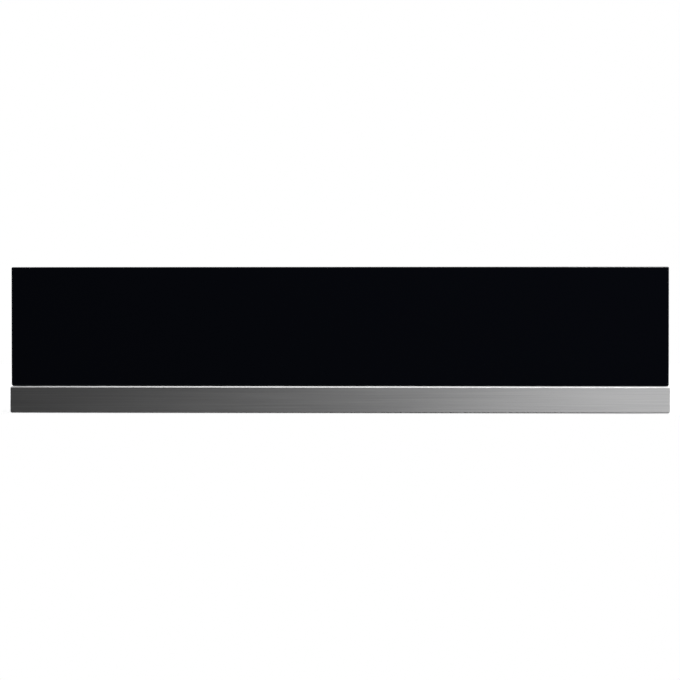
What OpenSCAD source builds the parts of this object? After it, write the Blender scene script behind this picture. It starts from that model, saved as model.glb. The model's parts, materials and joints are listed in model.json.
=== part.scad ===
// Built-in warming drawer, 60 cm class, push to open.
// X runs to the right, Y to the back, Z up. The front faces -Y.
// The origin is on the floor of the niche, under the middle of the whole part.

/* [Front] */
// Width of the steel strip, the widest piece of the front
front_w = 595; // [560:1:620]
// Height of the front, strip and glass together
front_h = 132; // [124:1:150]
// Thickness of the whole front
front_t = 20; // [16:0.5:26]
// Height of the front's lower edge above the niche floor
front_lift = 1.5; // [1:0.1:4]
// Thickness of the glass panel
glass_t = 4; // [3:0.5:6]
// How much narrower the glass is than the strip, each side
glass_inset = 0.7; // [0.5:0.1:3]
// Corner radius of the glass panel
glass_r = 1.3; // [0.5:0.1:6]
// Ground bevel round the face of the glass
glass_bevel = 0.8; // [0.2:0.1:1.2]
// Height of the steel strip
strip_h = 24.2; // [16:0.2:40]
// Corner radius of the steel strip
strip_r = 1.8; // [0.8:0.1:4]
// Wall of the steel strip
strip_wall = 1.5; // [1:0.1:2]
// Bevel along the top edge of the strip
strip_bevel = 1.3; // [0.4:0.1:1.4]
// Bevel along the bottom edge of the strip
strip_foot_bevel = 0.7; // [0.3:0.1:1.4]
// How far the strip stands in front of the glass
strip_proud = 1.4; // [0.2:0.1:1.5]
// Gap between the glass and the strip
reveal = 0.4; // [0.3:0.1:2]
// Thickness of the adhesive pads behind the glass
tape_t = 1; // [0.6:0.1:2]
// Margin from the edge of the front to its carrier
carrier_margin = 3; // [2:0.5:8]
// Diameter of the spacers inside the front
spacer_d = 9; // [8:0.5:11]
// Distance of the outer spacers from the pan's sides
spacer_inset = 36; // [20:1:60]

/* [Housing] */
// Width of the housing
housing_w = 556; // [540:1:558]
// Height of the housing without its feet
housing_h = 129.5; // [124:0.5:136]
// Depth of the housing behind the front
housing_d = 531; // [525:1:560]
// Thickness of the housing sheet
sheet_t = 1; // [0.7:0.1:1.2]
// Height of the feet
foot_h = 2; // [1.6:0.2:6]
// Diameter of the feet
foot_d = 22; // [14:1:30]
// How far the rear wall lies in front of the rear edge
rear_inset = 12.5; // [11:0.5:20]
// Width of the laps that join the housing sheets
lap_w = 12; // [10:0.5:16]
// Gap between the closed front and the housing
push_gap = 4; // [3.9:0.1:6]
// Height of the bottom rail of the front frame
frame_sill = 11; // [8:0.5:12]
// Height of the top rail of the front frame
frame_head = 20; // [18:0.5:22]
// Width of the side stiles of the front frame
frame_stile = 7; // [4:0.5:10]
// Width of the side pockets, of which the right one holds the controls
pocket_w = 32.3; // [31:0.1:44]
// Space for glass wool between the inner ceiling and the cover
roof_space = 20.5; // [18:0.5:30]
// Depth of the pressed panels in base and cover
emboss = 1.5; // [0.5:0.1:1.9]
// Diameter of the cabinet screw holes
cabinet_hole_d = 4.5; // [3.5:0.1:6]
// Height between the two cabinet screw holes of a side
cabinet_hole_pitch = 64; // [40:1:80]

/* [Drawer] */
// Depth of the drawer pan
drawer_d = 456; // [420:1:458]
// Height of the drawer pan above the base sheet
drawer_rise = 13; // [12.5:0.5:15]
// Gap between the drawer pan and the inner ceiling
headroom = 4; // [3:0.5:14]
// Thickness of the drawer sheet
pan_t = 1; // [0.8:0.1:1.5]
// Corner radius of the drawer pan
pan_r = 10; // [6:1:16]
// Width of the drawer pan's outer rim
rim_w = 7; // [4:0.5:9]
// How much lower the rear wall of the pan is than its sides
back_drop = 10; // [6:1:20]
// How far the closed drawer can be pushed in
push_travel = 3.5; // [2:0.1:3.5]
// Thickness of the anti-slip mat
mat_t = 1.6; // [1:0.1:3]
// Margin from the pan to the mat
mat_margin = 6; // [3:0.5:20]

/* [Slides] */
// Length of the telescopic slides
slide_len = 450; // [400:5:454]
// Height of the slides
slide_h = 45; // [38:0.5:50]
// Thickness of the slides, wall to drawer
slide_t = 12.7; // [12.2:0.1:14]
// Sheet thickness of the slide members
rail_t = 1; // [0.8:0.1:1.1]
// Ball diameter
ball_d = 3.2; // [2.8:0.1:3.4]
// Play between a ball and its race
ball_play = 0.08; // [0.04:0.01:0.1]
// Number of balls in each row of a cage
ball_count = 9; // [5:1:12]
// Distance from ball to ball
ball_pitch = 17; // [12:1:18]
// Height of the slides above the drawer floor, to their middle
slide_rise = 44; // [38:1:50]

/* [Warm air unit] */
// Distance from the drawer's back to the air baffle
baffle_gap = 7.5; // [6:0.5:12]
// Width of the air box
air_box_w = 240; // [160:5:300]
// Depth of the air box
air_box_d = 27; // [24:0.5:29]
// Width of the fan wheel
fan_w = 15; // [10:0.5:17]
// Number of fan blades
fan_blades = 20; // [12:1:24]
// Diameter of the shaft
shaft_d = 4; // [3:0.2:5]
// Gap between the heater ring and the air box
heater_box_gap = 2.3; // [1:0.1:5]
// Gap between the fan wheel and the heater ring
fan_heater_gap = 4.8; // [3:0.1:8]
// Diameter of the heater tube
heater_d = 6.4; // [5:0.2:7]
// Width of the motor's core
core_w = 58; // [52:1:66]
// Thickness of the motor's core
core_t = 12; // [10:0.5:14]
// Diameter of the rotor
rotor_d = 26; // [20:0.5:28]
// Travel of the touch latch plunger
plunger_travel = 14; // [8:1:16]
// Diameter of the touch latch plunger
plunger_d = 8; // [6:0.5:10]

/* [Controls] */
// How far the control panel lies behind the front frame
panel_recess = 18; // [16:0.5:26]
// Diameter of the temperature knob
knob_d = 22; // [18:0.5:24]
// Height of the temperature knob
knob_h = 13; // [9:0.5:14]
// Width of the rocker switch
rocker_w = 12; // [9:0.5:16]
// Height of the rocker switch
rocker_h = 21; // [16:0.5:26]
// Diameter of the pilot lamp
lamp_d = 6; // [4:0.5:9]
// Diameter of the cable way through the gland
gland_bore_d = 8; // [6:0.5:9]

/* [Hidden] */
$fn = 48;

// Clearances
seat_gap = 0.3;       // between pieces that lie close without touching
screw_play = 0.2;     // round a screw shank, radial
shaft_play = 0.03;    // round a turning shaft, radial
rotor_play = 0.4;     // air gap of the motor, radial
eps = 0.01;           // overshoot of a cut

// Screws
screw_d = 3.5;
screw_head_d = 7;
screw_head_h = 1.8;

// Depths, from the front to the rear
total_d = front_t + push_gap + housing_d;
y_front = -total_d / 2;
y_front_back = y_front + front_t;
y_house = y_front_back + push_gap;
y_rear_edge = y_house + housing_d;
y_rear = y_rear_edge - rear_inset;
y_glass = y_front + strip_proud;
y_carrier = y_glass + glass_t + tape_t;
y_skin = y_front_back - pan_t;
y_pan_back = y_front_back + drawer_d;
y_baffle = y_pan_back + baffle_gap;
y_box_back = y_baffle + air_box_d;
slide_setback = 3;      // from the mouth of the housing to the slides
y_slide = y_house + slide_setback;

// Heights, from the floor to the top
z_base = foot_h;
z_base_top = z_base + sheet_t;
z_house_top = z_base + housing_h;
z_cover = z_house_top - sheet_t;
z_front_top = front_lift + front_h;
z_strip_top = front_lift + strip_h;
z_pan = z_base_top + drawer_rise;
z_ceiling = z_cover - roof_space;
z_pan_top = z_ceiling - headroom;
z_slide = z_pan + slide_rise;
box_margin = 4;         // from the air box to base and ceiling
z_box = [z_base_top + box_margin, z_ceiling - box_margin];
z_fan = (z_box[0] + z_box[1]) / 2;

// Half widths, from the middle to the sides
x_house = housing_w / 2;
x_side = x_house - sheet_t;
x_lap = x_side - sheet_t;
x_pocket = x_lap - pocket_w;
x_inner_wall = x_pocket - sheet_t;
x_pan = x_inner_wall - slide_t;
drawer_w = 2 * x_pan;
drawer_h = z_pan_top - z_pan;

// Lengths of the slide members and cages
inner_short = 20;       // how much shorter the inner members are
cage_end = 0.7;         // from a cage's end to its first ball, in steps from ball to ball
inner_len = slide_len - inner_short;
cage_len = (ball_count - 1 + 2 * cage_end) * ball_pitch;
cage_start = (slide_len - cage_len) / 2;

// Heater and fan wheel, from the height of the air box inwards
heater_ring_r = (z_box[1] - z_box[0]) / 2 - sheet_t - heater_box_gap - heater_d / 2;
fan_d = 2 * (heater_ring_r - heater_d / 2 - fan_heater_gap);

// Front
glass_w = front_w - 2 * glass_inset;
glass_h = front_h - strip_h - reveal;
carrier_w = glass_w - 2 * carrier_margin;
carrier_h = front_h - 2 * carrier_margin;
carrier_r = 2.5;        // corner radius of the carrier and of the inner skin
z_carrier = front_lift + carrier_margin;

// ---- Shared shapes ----

// A straight block between two values on each axis.
module block(x, y, z) {
  translate([x[0], y[0], z[0]]) cube([x[1] - x[0], y[1] - y[0], z[1] - z[0]]);
}

// Stands a flat shape up in the X-Z plane and gives it the depth from y0 to y1.
module upright(y0, y1) {
  translate([0, y1, 0]) rotate([90, 0, 0]) linear_extrude(y1 - y0) children();
}

// Runs a profile drawn in the Y-Z plane from x0 to x1.
module crosswise(x0, x1) {
  translate([x0, 0, 0]) rotate([90, 0, 90]) linear_extrude(x1 - x0) children();
}

// A round rod or hole along Y, from y0 to y1.
module rod_y(d, x, z, y0, y1) {
  translate([x, y1, z]) rotate([90, 0, 0]) cylinder(d = d, h = y1 - y0);
}

// A round rod or hole along X, from x0 to x1.
module rod_x(d, y, z, x0, x1) {
  translate([x0, y, z]) rotate([0, 90, 0]) cylinder(d = d, h = x1 - x0);
}

// A rectangle with round corners, from its lower left corner.
module round_rect(w, h, r) {
  translate([r, 0]) square([w - 2 * r, h]);
  translate([0, r]) square([w, h - 2 * r]);
  for (x = [r, w - r], y = [r, h - r]) translate([x, y]) circle(r);
}

// A slot with round ends along X, centred.
module round_slot(len, w) {
  translate([-(len - w) / 2, -w / 2]) square([len - w, w]);
  for (side = [-1, 1]) translate([side * (len - w) / 2, 0]) circle(d = w);
}

// A part of a flat ring between two angles less than 180 degrees apart.
module ring_part(r_in, r_out, from, to) {
  reach = 2 * r_out / cos((to - from) / 4);
  middle = (from + to) / 2;
  intersection() {
    difference() {
      circle(r_out);
      circle(r_in);
    }
    polygon([[0, 0], reach * [cos(from), sin(from)], reach * [cos(middle), sin(middle)],
             reach * [cos(to), sin(to)]]);
  }
}

// The same shapes on the left and on the right of the middle.
module both_sides() {
  children();
  mirror([1, 0, 0]) children();
}

// ---- The front ----

// Where the spacers and screws of the front stand: the flat of the pan's front wall.
spacer_x = [-x_pan + spacer_inset, 0, x_pan - spacer_inset];
spacer_low = 12;        // from the pan's floor to the lower spacers
spacer_high = 14;       // from the pan's upper edge to the upper ones
spacer_z = [z_pan + spacer_low, z_pan_top - spacer_high];
module at_front_screws() {
  for (x = spacer_x, z = spacer_z) translate([x, 0, z]) children();
}

// Black glass, with a ground bevel round its face.
module glass_panel() {
  z0 = z_strip_top + reveal;
  color("#06070b") intersection() {
    translate([-glass_w / 2, 0, z0]) upright(y_glass, y_glass + glass_t) round_rect(glass_w, glass_h, glass_r);
    crosswise(-front_w / 2, front_w / 2) polygon([
      [y_glass, z0 + glass_bevel], [y_glass + glass_bevel, z0], [y_glass + glass_t, z0],
      [y_glass + glass_t, z0 + glass_h], [y_glass + glass_bevel, z0 + glass_h],
      [y_glass, z0 + glass_h - glass_bevel]
    ]);
    linear_extrude(z_front_top + foot_h) polygon([
      [-glass_w / 2 + glass_bevel, y_glass], [glass_w / 2 - glass_bevel, y_glass],
      [glass_w / 2, y_glass + glass_bevel], [glass_w / 2, y_glass + glass_t],
      [-glass_w / 2, y_glass + glass_t], [-glass_w / 2, y_glass + glass_bevel]
    ]);
  }
}

// Brushed strip: a shallow pan with closed ends, a bevelled top edge and two ribs inside.
module steel_strip() {
  depth = y_carrier - y_front;
  z0 = front_lift;
  inside_h = strip_h - 2 * strip_wall;
  color("#8d8d8f") {
    difference() {
      intersection() {
        translate([-front_w / 2, 0, z0]) upright(y_front, y_carrier) round_rect(front_w, strip_h, strip_r);
        crosswise(-front_w / 2, front_w / 2) polygon([
          [y_front, z0 + strip_foot_bevel], [y_front + strip_foot_bevel, z0], [y_carrier, z0],
          [y_carrier, z0 + strip_h], [y_front + strip_bevel, z0 + strip_h],
          [y_front, z0 + strip_h - strip_bevel]
        ]);
      }
      block([-front_w / 2 + strip_wall, front_w / 2 - strip_wall], [y_front + strip_wall, y_carrier + eps],
            [z0 + strip_wall, z0 + strip_h - strip_wall]);
    }
    for (share = [1 / 3, 2 / 3]) {
      rib_z = z0 + strip_wall + inside_h * share;
      block([-front_w / 2 + 4 * strip_wall, front_w / 2 - 4 * strip_wall],
            [y_front + strip_wall, y_front + depth], [rib_z - strip_wall / 2, rib_z + strip_wall / 2]);
    }
  }
}

// Folded steel pan that carries the glass and the strip, open to the back.
module front_carrier() {
  color("#4a4c50") difference() {
    translate([-carrier_w / 2, 0, z_carrier])
      upright(y_carrier, y_skin) round_rect(carrier_w, carrier_h, carrier_r);
    translate([-carrier_w / 2 + pan_t, 0, z_carrier + pan_t])
      upright(y_carrier + pan_t, y_skin + eps)
        round_rect(carrier_w - 2 * pan_t, carrier_h - 2 * pan_t, carrier_r - pan_t);
  }
}

// Strips of adhesive tape between the glass and its carrier.
module tape_pads() {
  z0 = z_strip_top + reveal;
  tape_w = 12;
  edge = 4;
  end = 6;
  y = [y_carrier - tape_t, y_carrier];
  color("#202224") for (z = [z0 + edge, z0 + (glass_h - tape_w) / 2, z_carrier + carrier_h - edge - tape_w])
    block([-carrier_w / 2 + end, carrier_w / 2 - end], y, [z, z + tape_w]);
}

// Glass wool inside the front, with a hole round each spacer.
module front_insulation() {
  margin = pan_t + 1;
  color("#d9c9a0") difference() {
    block([-carrier_w / 2 + margin, carrier_w / 2 - margin], [y_carrier + pan_t, y_skin - seat_gap],
          [z_carrier + margin, z_carrier + carrier_h - margin]);
    at_front_screws() rod_y(spacer_d + 2 * seat_gap, 0, 0, y_carrier, y_skin + eps);
  }
}

// Threaded spacers that tie the carrier, the inner skin and the pan together.
module front_spacers() {
  color("#b9bbbd") at_front_screws() difference() {
    rod_y(spacer_d, 0, 0, y_carrier + pan_t, y_skin);
    rod_y(screw_d + 2 * shaft_play, 0, 0, y_carrier + pan_t - eps, y_skin + eps);
  }
}

// Steel sheet that closes the back of the front.
module inner_front_skin() {
  color("#a5a7a9") difference() {
    translate([-carrier_w / 2, 0, z_carrier])
      upright(y_skin, y_front_back) round_rect(carrier_w, carrier_h, carrier_r);
    at_front_screws() rod_y(screw_d + 2 * screw_play, 0, 0, y_skin - eps, y_front_back + eps);
  }
}

// Screws from inside the pan into the spacers; their heads face the back.
module front_screws() {
  y_seat = y_front_back + pan_t;
  short = 1;
  color("#c4c6c8") at_front_screws() {
    rod_y(screw_d, 0, 0, y_carrier + pan_t + short, y_seat + eps);
    rod_y(screw_head_d, 0, 0, y_seat, y_seat + screw_head_h);
  }
}

// ---- The drawer ----

// Spots of the screws that hold each inner slide member to the pan.
inner_screw_end = 40;   // from the ends of the inner member to its first and last screw
inner_screw_y = [y_slide + inner_screw_end, y_slide + inner_len / 2, y_slide + inner_len - inner_screw_end];
module at_inner_screws() {
  for (y = inner_screw_y) translate([0, y, z_slide]) children();
}

// Air slots in the rear wall of the pan, in two rows.
module pan_air_slots() {
  slot_len = 22;
  slot_w = 4.5;
  slot_pitch = 30;
  lower_row = 46;
  row_pitch = 14;
  count = floor((drawer_w - 4 * pan_r) / slot_pitch / 2);
  upright(y_pan_back - pan_t - eps, y_pan_back + eps)
    for (row = [0, 1], i = [-count : count])
      translate([i * slot_pitch, z_pan + lower_row + row * row_pitch]) round_slot(slot_len, slot_w);
}

// Steel pan with round corners, an outer rim along its sides and a lower rear wall.
module drawer_pan() {
  wall = [drawer_w - 2 * pan_t, drawer_d - 2 * pan_t];
  color("#b4b6b8") difference() {
    union() {
      translate([-x_pan, y_front_back, z_pan]) linear_extrude(drawer_h) round_rect(drawer_w, drawer_d, pan_r);
      both_sides() block([x_pan - pan_t, x_pan + rim_w], [y_front_back + pan_r, y_pan_back - 2 * pan_r],
                         [z_pan_top - pan_t, z_pan_top]);
    }
    translate([-x_pan + pan_t, y_front_back + pan_t, z_pan + pan_t])
      linear_extrude(drawer_h) round_rect(wall[0], wall[1], pan_r - pan_t);
    block([-x_pan - eps, x_pan + eps], [y_pan_back - pan_r, y_pan_back + eps],
          [z_pan_top - back_drop, z_pan_top + eps]);
    pan_air_slots();
    at_front_screws() rod_y(screw_d + 2 * screw_play, 0, 0, y_front_back - eps, y_front_back + pan_t + eps);
    at_inner_screws() rod_x(screw_d + 2 * screw_play, 0, 0, -x_pan - eps, x_pan + eps);
  }
}

// Ribbed rubber mat on the floor of the pan.
module anti_slip_mat() {
  w = drawer_w - 2 * (pan_t + mat_margin);
  d = drawer_d - 2 * (pan_t + mat_margin);
  z0 = z_pan + pan_t;
  rib_pitch = 20;
  rib_w = 3;
  rib_h = 0.6;
  ribs = floor(w / 2 / rib_pitch) - 1;
  color("#2b2c2f") {
    translate([-w / 2, y_front_back + pan_t + mat_margin, z0])
      linear_extrude(mat_t - rib_h) round_rect(w, d, pan_r);
    for (i = [-ribs : ribs])
      block([i * rib_pitch - rib_w / 2, i * rib_pitch + rib_w / 2],
            [y_front_back + pan_t + mat_margin + pan_r, y_pan_back - pan_t - mat_margin - pan_r],
            [z0 + mat_t - rib_h - eps, z0 + mat_t]);
  }
}

// The touch latch meets this plate on the back of the pan.
latch_inset = 60;       // from the left side of the pan to the latch
latch_rise = 20;        // from the bottom of the pan to the latch
latch_x = latch_inset - x_pan;
latch_z = z_pan + latch_rise;
plate_t = 1;
module striker_plate() {
  size = 20;
  corner = 3;
  color("#9a9c9e") translate([latch_x - size / 2, 0, latch_z - size / 2])
    upright(y_pan_back, y_pan_back + plate_t) round_rect(size, size, corner);
}

// ---- The telescopic slides ----
// A slide is drawn for the left side. Its profiles lie in a plane with u from the housing wall towards
// the drawer, and v up from the middle of the slide. Each ball row runs in two round races.

race_r = ball_d / 2 + ball_play;
race_out = race_r + rail_t;
race_mid = race_r + rail_t / 2;
groove_end = 25;      // angle below level at which the lower races end
lip_end = 20;         // angle above level at which the upper races end
bend_angle = 150;     // angle at which an upper race meets its flange
web_gap = 0.9;        // between the webs of the outer and the middle member
cage_t = 0.5;         // sheet of the ball cages
pocket_play = 0.1;    // round a ball in its cage, radial
cage_play = 0.15;     // from the edge of a cage to the race beside it

// The middles of the outer and the inner ball rows
u_outer = rail_t + web_gap + race_out * cos(groove_end);
v_outer = slide_h / 2 - race_out;
u_inner = u_outer + 2 * race_mid * cos(groove_end);
v_inner = v_outer - 2 * race_mid * sin(groove_end);
u_middle_web = rail_t + web_gap;

// A rectangle between two corners.
module area(u, v) {
  translate([u[0], v[0]]) square([u[1] - u[0], v[1] - v[0]]);
}

// A flat shape and its mirror image below the middle of the slide.
module top_and_bottom() {
  children();
  mirror([0, 1]) children();
}

// Turned on its side and lengthened along Y.
module slide_member(from, len) {
  upright(y_slide + from, y_slide + from + len) children();
}

module outer_profile() {
  bend_v = v_outer + race_mid * sin(bend_angle);
  area([0, rail_t], [-bend_v - rail_t / 2, bend_v + rail_t / 2]);
  top_and_bottom() {
    area([0, u_outer + race_mid * cos(bend_angle)], [bend_v - rail_t / 2, bend_v + rail_t / 2]);
    translate([u_outer, v_outer]) ring_part(race_r, race_out, lip_end, bend_angle);
  }
}

module middle_profile() {
  web_v = v_outer - race_mid * sin(groove_end);
  area([u_middle_web, u_middle_web + rail_t], [-web_v, web_v]);
  top_and_bottom() {
    translate([u_outer, v_outer]) ring_part(race_r, race_out, 180 + groove_end, 360 - groove_end);
    translate([u_inner, v_inner]) ring_part(race_r, race_out, lip_end, 180 - groove_end);
  }
}

module inner_profile() {
  foot_v = v_inner - race_mid * sin(groove_end);
  area([slide_t - rail_t, slide_t], [-foot_v - rail_t / 2, foot_v + rail_t / 2]);
  top_and_bottom() {
    area([u_inner + race_mid * cos(groove_end) - rail_t / 4, slide_t],
         [foot_v - rail_t / 2, foot_v + rail_t / 2]);
    translate([u_inner, v_inner]) ring_part(race_r, race_out, 180 + groove_end, 360 - groove_end);
  }
}

// Stamped slots in the web of a member: long ways along Y, at the given places.
module web_slots(places, len, w) {
  for (y = places) translate([-eps, y, 0]) rotate([90, 0, 90]) linear_extrude(slide_t + 2 * eps)
    round_slot(len, w);
}

// The place of each ball of a row along Y.
ball_y = [for (i = [0 : ball_count - 1]) y_slide + cage_start + (i + cage_end) * ball_pitch];

// One row of balls.
module ball_row(u, v) {
  for (y = ball_y) translate([u, y, v]) sphere(d = ball_d);
}

// Round pockets for a row of balls, through a level sheet.
module ball_pockets(u, v) {
  for (y = ball_y) translate([u, y, v - cage_t]) cylinder(r = ball_d / 2 + pocket_play, h = 2 * cage_t);
}

outer_screw_end = 46;  // from the ends of the outer member to its first and last screw
outer_screw_y = [y_slide + outer_screw_end, y_slide + slide_len / 2, y_slide + slide_len - outer_screw_end];

module outer_slide() {
  color("#9fa3a8") difference() {
    slide_member(0, slide_len) outer_profile();
    for (y = outer_screw_y) rod_x(screw_d + 2 * shaft_play, y, 0, -eps, rail_t + eps);
    web_slots([for (share = [1 / 4, 3 / 4]) y_slide + slide_len * share], 60, 12);
  }
}

module middle_slide() {
  slot_end = 50;
  color("#b4b8bd") difference() {
    slide_member(0, slide_len) middle_profile();
    web_slots([y_slide + slot_end, y_slide + slide_len - slot_end], 24, 8);
  }
}

module inner_slide() {
  color("#c3c7cb") difference() {
    slide_member(0, inner_len) inner_profile();
    for (y = inner_screw_y) rod_x(screw_d + 2 * shaft_play, y, 0, slide_t - rail_t - eps, slide_t + eps);
    web_slots([for (share = [1 / 3, 2 / 3]) y_slide + inner_len * share], 30, 10);
  }
}

// C-shaped cage between the outer and the middle member, with its balls.
module outer_cage() {
  web_u = rail_t + (web_gap - cage_t) / 2;
  reach = u_outer + race_r * cos(groove_end) - cage_play;
  slot_off = 40;
  color("#d7b45a") {
    difference() {
      slide_member(cage_start, cage_len) {
        area([web_u, web_u + cage_t], [-v_outer, v_outer]);
        top_and_bottom() area([web_u, reach], [v_outer - cage_t / 2, v_outer + cage_t / 2]);
      }
      for (side = [-1, 1]) ball_pockets(u_outer, side * v_outer);
      web_slots([for (side = [-1, 1]) y_slide + slide_len / 2 + side * slot_off], 50, 18);
    }
    for (side = [-1, 1]) ball_row(u_outer, side * v_outer);
  }
}

// Two cage strips between the middle and the inner member, with their balls.
module inner_cage() {
  spine_end = slide_t - rail_t - seat_gap;
  color("#d7b45a") for (side = [-1, 1]) {
    difference() {
      slide_member(cage_start, cage_len)
        area([u_inner + seat_gap, spine_end], [side * v_inner - cage_t / 2, side * v_inner + cage_t / 2]);
      ball_pockets(u_inner, side * v_inner);
    }
    ball_row(u_inner, side * v_inner);
  }
}

// Puts a slide piece, drawn for the left, on its side of the housing.
module on_side(side) {
  if (side == "left") translate([-x_inner_wall, 0, z_slide]) children();
  else mirror([1, 0, 0]) translate([-x_inner_wall, 0, z_slide]) children();
}

// Screws through the pan into the inner members, heads inside the pan.
module slide_screws_drawer() {
  tip = 1;
  color("#c4c6c8") both_sides() at_inner_screws() {
    rod_x(screw_d, 0, 0, x_pan - pan_t - eps, x_pan + rail_t + tip);
    rod_x(screw_head_d, 0, 0, x_pan - pan_t - screw_head_h, x_pan - pan_t);
  }
}

// Screws through the inner walls into the outer members, heads in the side pockets.
module slide_screws_housing() {
  color("#c4c6c8") both_sides() for (y = outer_screw_y) translate([0, y, z_slide]) {
    rod_x(screw_d, 0, 0, x_inner_wall - rail_t, x_pocket + eps);
    rod_x(screw_head_d, 0, 0, x_pocket, x_pocket + screw_head_h);
  }
}

// ---- The housing ----

y_shell = y_house + sheet_t;          // front edge of the shell, behind the front frame
y_behind_lap = y_shell + sheet_t;     // behind the front laps of the shell
x_front_lap = x_lap - 2 * sheet_t;    // end of the front laps, clear of the side laps at the corners
x_window = x_house - frame_stile;
z_sill = z_base + frame_sill;
z_head = z_house_top - frame_head;
panel_r = 12;                         // corner radius of a pressed panel
low_head_h = 1.2;                     // height of a low screw head

foot_inset = 60;                      // from the sides of the housing to the feet
foot_x = x_house - foot_inset;
foot_y = [y_house + 60, y_rear_edge - 36];
foot_stem_d = 6;
foot_barb_d = 9;
module at_feet() {
  for (x = [-foot_x, foot_x], y = foot_y) translate([x, y, 0]) children();
}

// The pressed panel in the right half of a sheet: [left, right, front, back]
panel_land = 20;                      // from the middle of a sheet to its panels
base_panel = [panel_land, foot_x - foot_d / 2 - 12, y_house + 110, y_pan_back - 70];
cover_panel = [panel_land, x_side - 42, y_house + 50, y_rear - 60];

// The outlines of both panels of a sheet, drawn in by an inset.
module pressed_outlines(p, inset) {
  both_sides() translate([p[0] + inset, p[2] + inset])
    round_rect(p[1] - p[0] - 2 * inset, p[3] - p[2] - 2 * inset, panel_r - inset);
}

// Spots along Y of the screws that tie the side walls to base and cover.
shell_screw_front = 70;               // from the mouth of the housing to the first screw
shell_screw_rear = 40;                // from the rear wall to the last one
shell_screw_y = [y_house + shell_screw_front, (y_house + y_rear) / 2, y_rear - shell_screw_rear];
shell_screw_z = [z_base_top + lap_w / 2, z_cover - lap_w / 2];
module at_shell_screws() {
  for (y = shell_screw_y, z = shell_screw_z) translate([0, y, z]) children();
}

// Base sheet with upturned laps and two panels pressed upwards.
module base_pan() {
  color("#a9adb0") difference() {
    union() {
      block([-x_side, x_side], [y_shell, y_rear_edge], [z_base, z_base_top]);
      both_sides() block([x_lap, x_side], [y_behind_lap, y_rear_edge], [z_base, z_base_top + lap_w]);
      block([-x_front_lap, x_front_lap], [y_shell, y_behind_lap], [z_base, z_sill - sheet_t]);
      translate([0, 0, z_base]) linear_extrude(emboss + sheet_t) pressed_outlines(base_panel, 0);
    }
    translate([0, 0, z_base - eps]) linear_extrude(emboss + eps) pressed_outlines(base_panel, sheet_t);
    at_feet() cylinder(d = foot_stem_d + 2 * screw_play, h = z_base_top + eps);
    at_shell_screws() rod_x(screw_d + 2 * screw_play, 0, 0, -x_house, x_house);
  }
}

// Rubber feet, pushed into the base sheet from below.
module feet() {
  barb_h = 1.6;
  color("#1d1e20") at_feet() {
    cylinder(d = foot_d, h = z_base);
    cylinder(d = foot_stem_d, h = z_base_top + eps);
    translate([0, 0, z_base_top]) cylinder(d1 = foot_barb_d, d2 = foot_stem_d - 1, h = barb_h);
  }
}

// Side sheet with a front lap, cabinet screw holes and cooling slots near the rear.
cabinet_hole_y = y_house + panel_recess / 2;
cabinet_hole_z = (z_base + z_house_top) / 2;
module side_wall() {
  slots = 7;
  slot_pitch = 11;
  slot_len = 30;
  slot_w = 4;
  y_slots = y_rear - 42;
  color("#b0b4b7") difference() {
    union() {
      block([x_side, x_house], [y_shell, y_rear_edge], [z_base, z_house_top]);
      block([x_window, x_side + eps], [y_shell, y_behind_lap], [z_sill, z_head]);
    }
    for (side = [-1, 1])
      rod_x(cabinet_hole_d, cabinet_hole_y, cabinet_hole_z + side * cabinet_hole_pitch / 2,
            x_side - eps, x_house + eps);
    at_shell_screws() rod_x(screw_d + 2 * screw_play, 0, 0, x_side - eps, x_house + eps);
    for (i = [0 : slots - 1])
      translate([x_side - eps, y_slots, cabinet_hole_z + (i - (slots - 1) / 2) * slot_pitch])
        rotate([90, 0, 90]) linear_extrude(sheet_t + 2 * eps) round_slot(slot_len, slot_w);
  }
}

// C-shaped inner wall that carries a slide and stands on the base sheet.
module inner_wall() {
  y = [y_behind_lap, y_baffle];
  z = [z_base_top, z_ceiling];
  slot_pitch = 48;
  slot_len = 30;
  slot_w = 5;
  y_slots = [y_house + 60 : slot_pitch : y_baffle - 50];
  color("#b9bdc0") difference() {
    union() {
      block([x_inner_wall, x_pocket], y, z);
      block([x_inner_wall, x_lap - seat_gap], y, [z[0], z[0] + sheet_t]);
      block([x_inner_wall, x_side], y, [z[1] - sheet_t, z[1]]);
      block([x_lap, x_side], [y_behind_lap + lap_w, y[1]], [z[1] - lap_w, z[1]]);
    }
    for (y_screw = outer_screw_y)
      rod_x(screw_d + 2 * screw_play, y_screw, z_slide, x_inner_wall - eps, x_pocket + eps);
    for (y_slot = y_slots) translate([x_inner_wall - eps, y_slot, z_ceiling - 14])
      rotate([90, 0, 90]) linear_extrude(sheet_t + 2 * eps) round_slot(slot_len, slot_w);
  }
}

// Rear sheet with side returns, vents behind the motor and a round way for the cable gland.
gland_x = -92;
gland_z = z_base_top + 44;
gland_neck_d = 14;
module rear_wall() {
  slot_pitch = 9;
  slots = 8;
  slot_len = 52;
  slot_w = 4;
  vent_x = [0, 150];
  y = [y_rear - sheet_t, y_rear];
  color("#a9adb0") difference() {
    union() {
      block([-x_lap, x_lap], y, [z_base_top, z_cover]);
      both_sides() block([x_lap - sheet_t, x_lap], [y_rear - lap_w, y_rear], [z_base_top, z_cover]);
    }
    rod_y(gland_neck_d + 2 * screw_play, gland_x, gland_z, y[0] - eps, y[1] + eps);
    upright(y[0] - eps, y[1] + eps) for (x = vent_x, i = [0 : slots - 1])
      translate([x, z_fan + (i - (slots - 1) / 2) * slot_pitch]) round_slot(slot_len, slot_w);
  }
}

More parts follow.
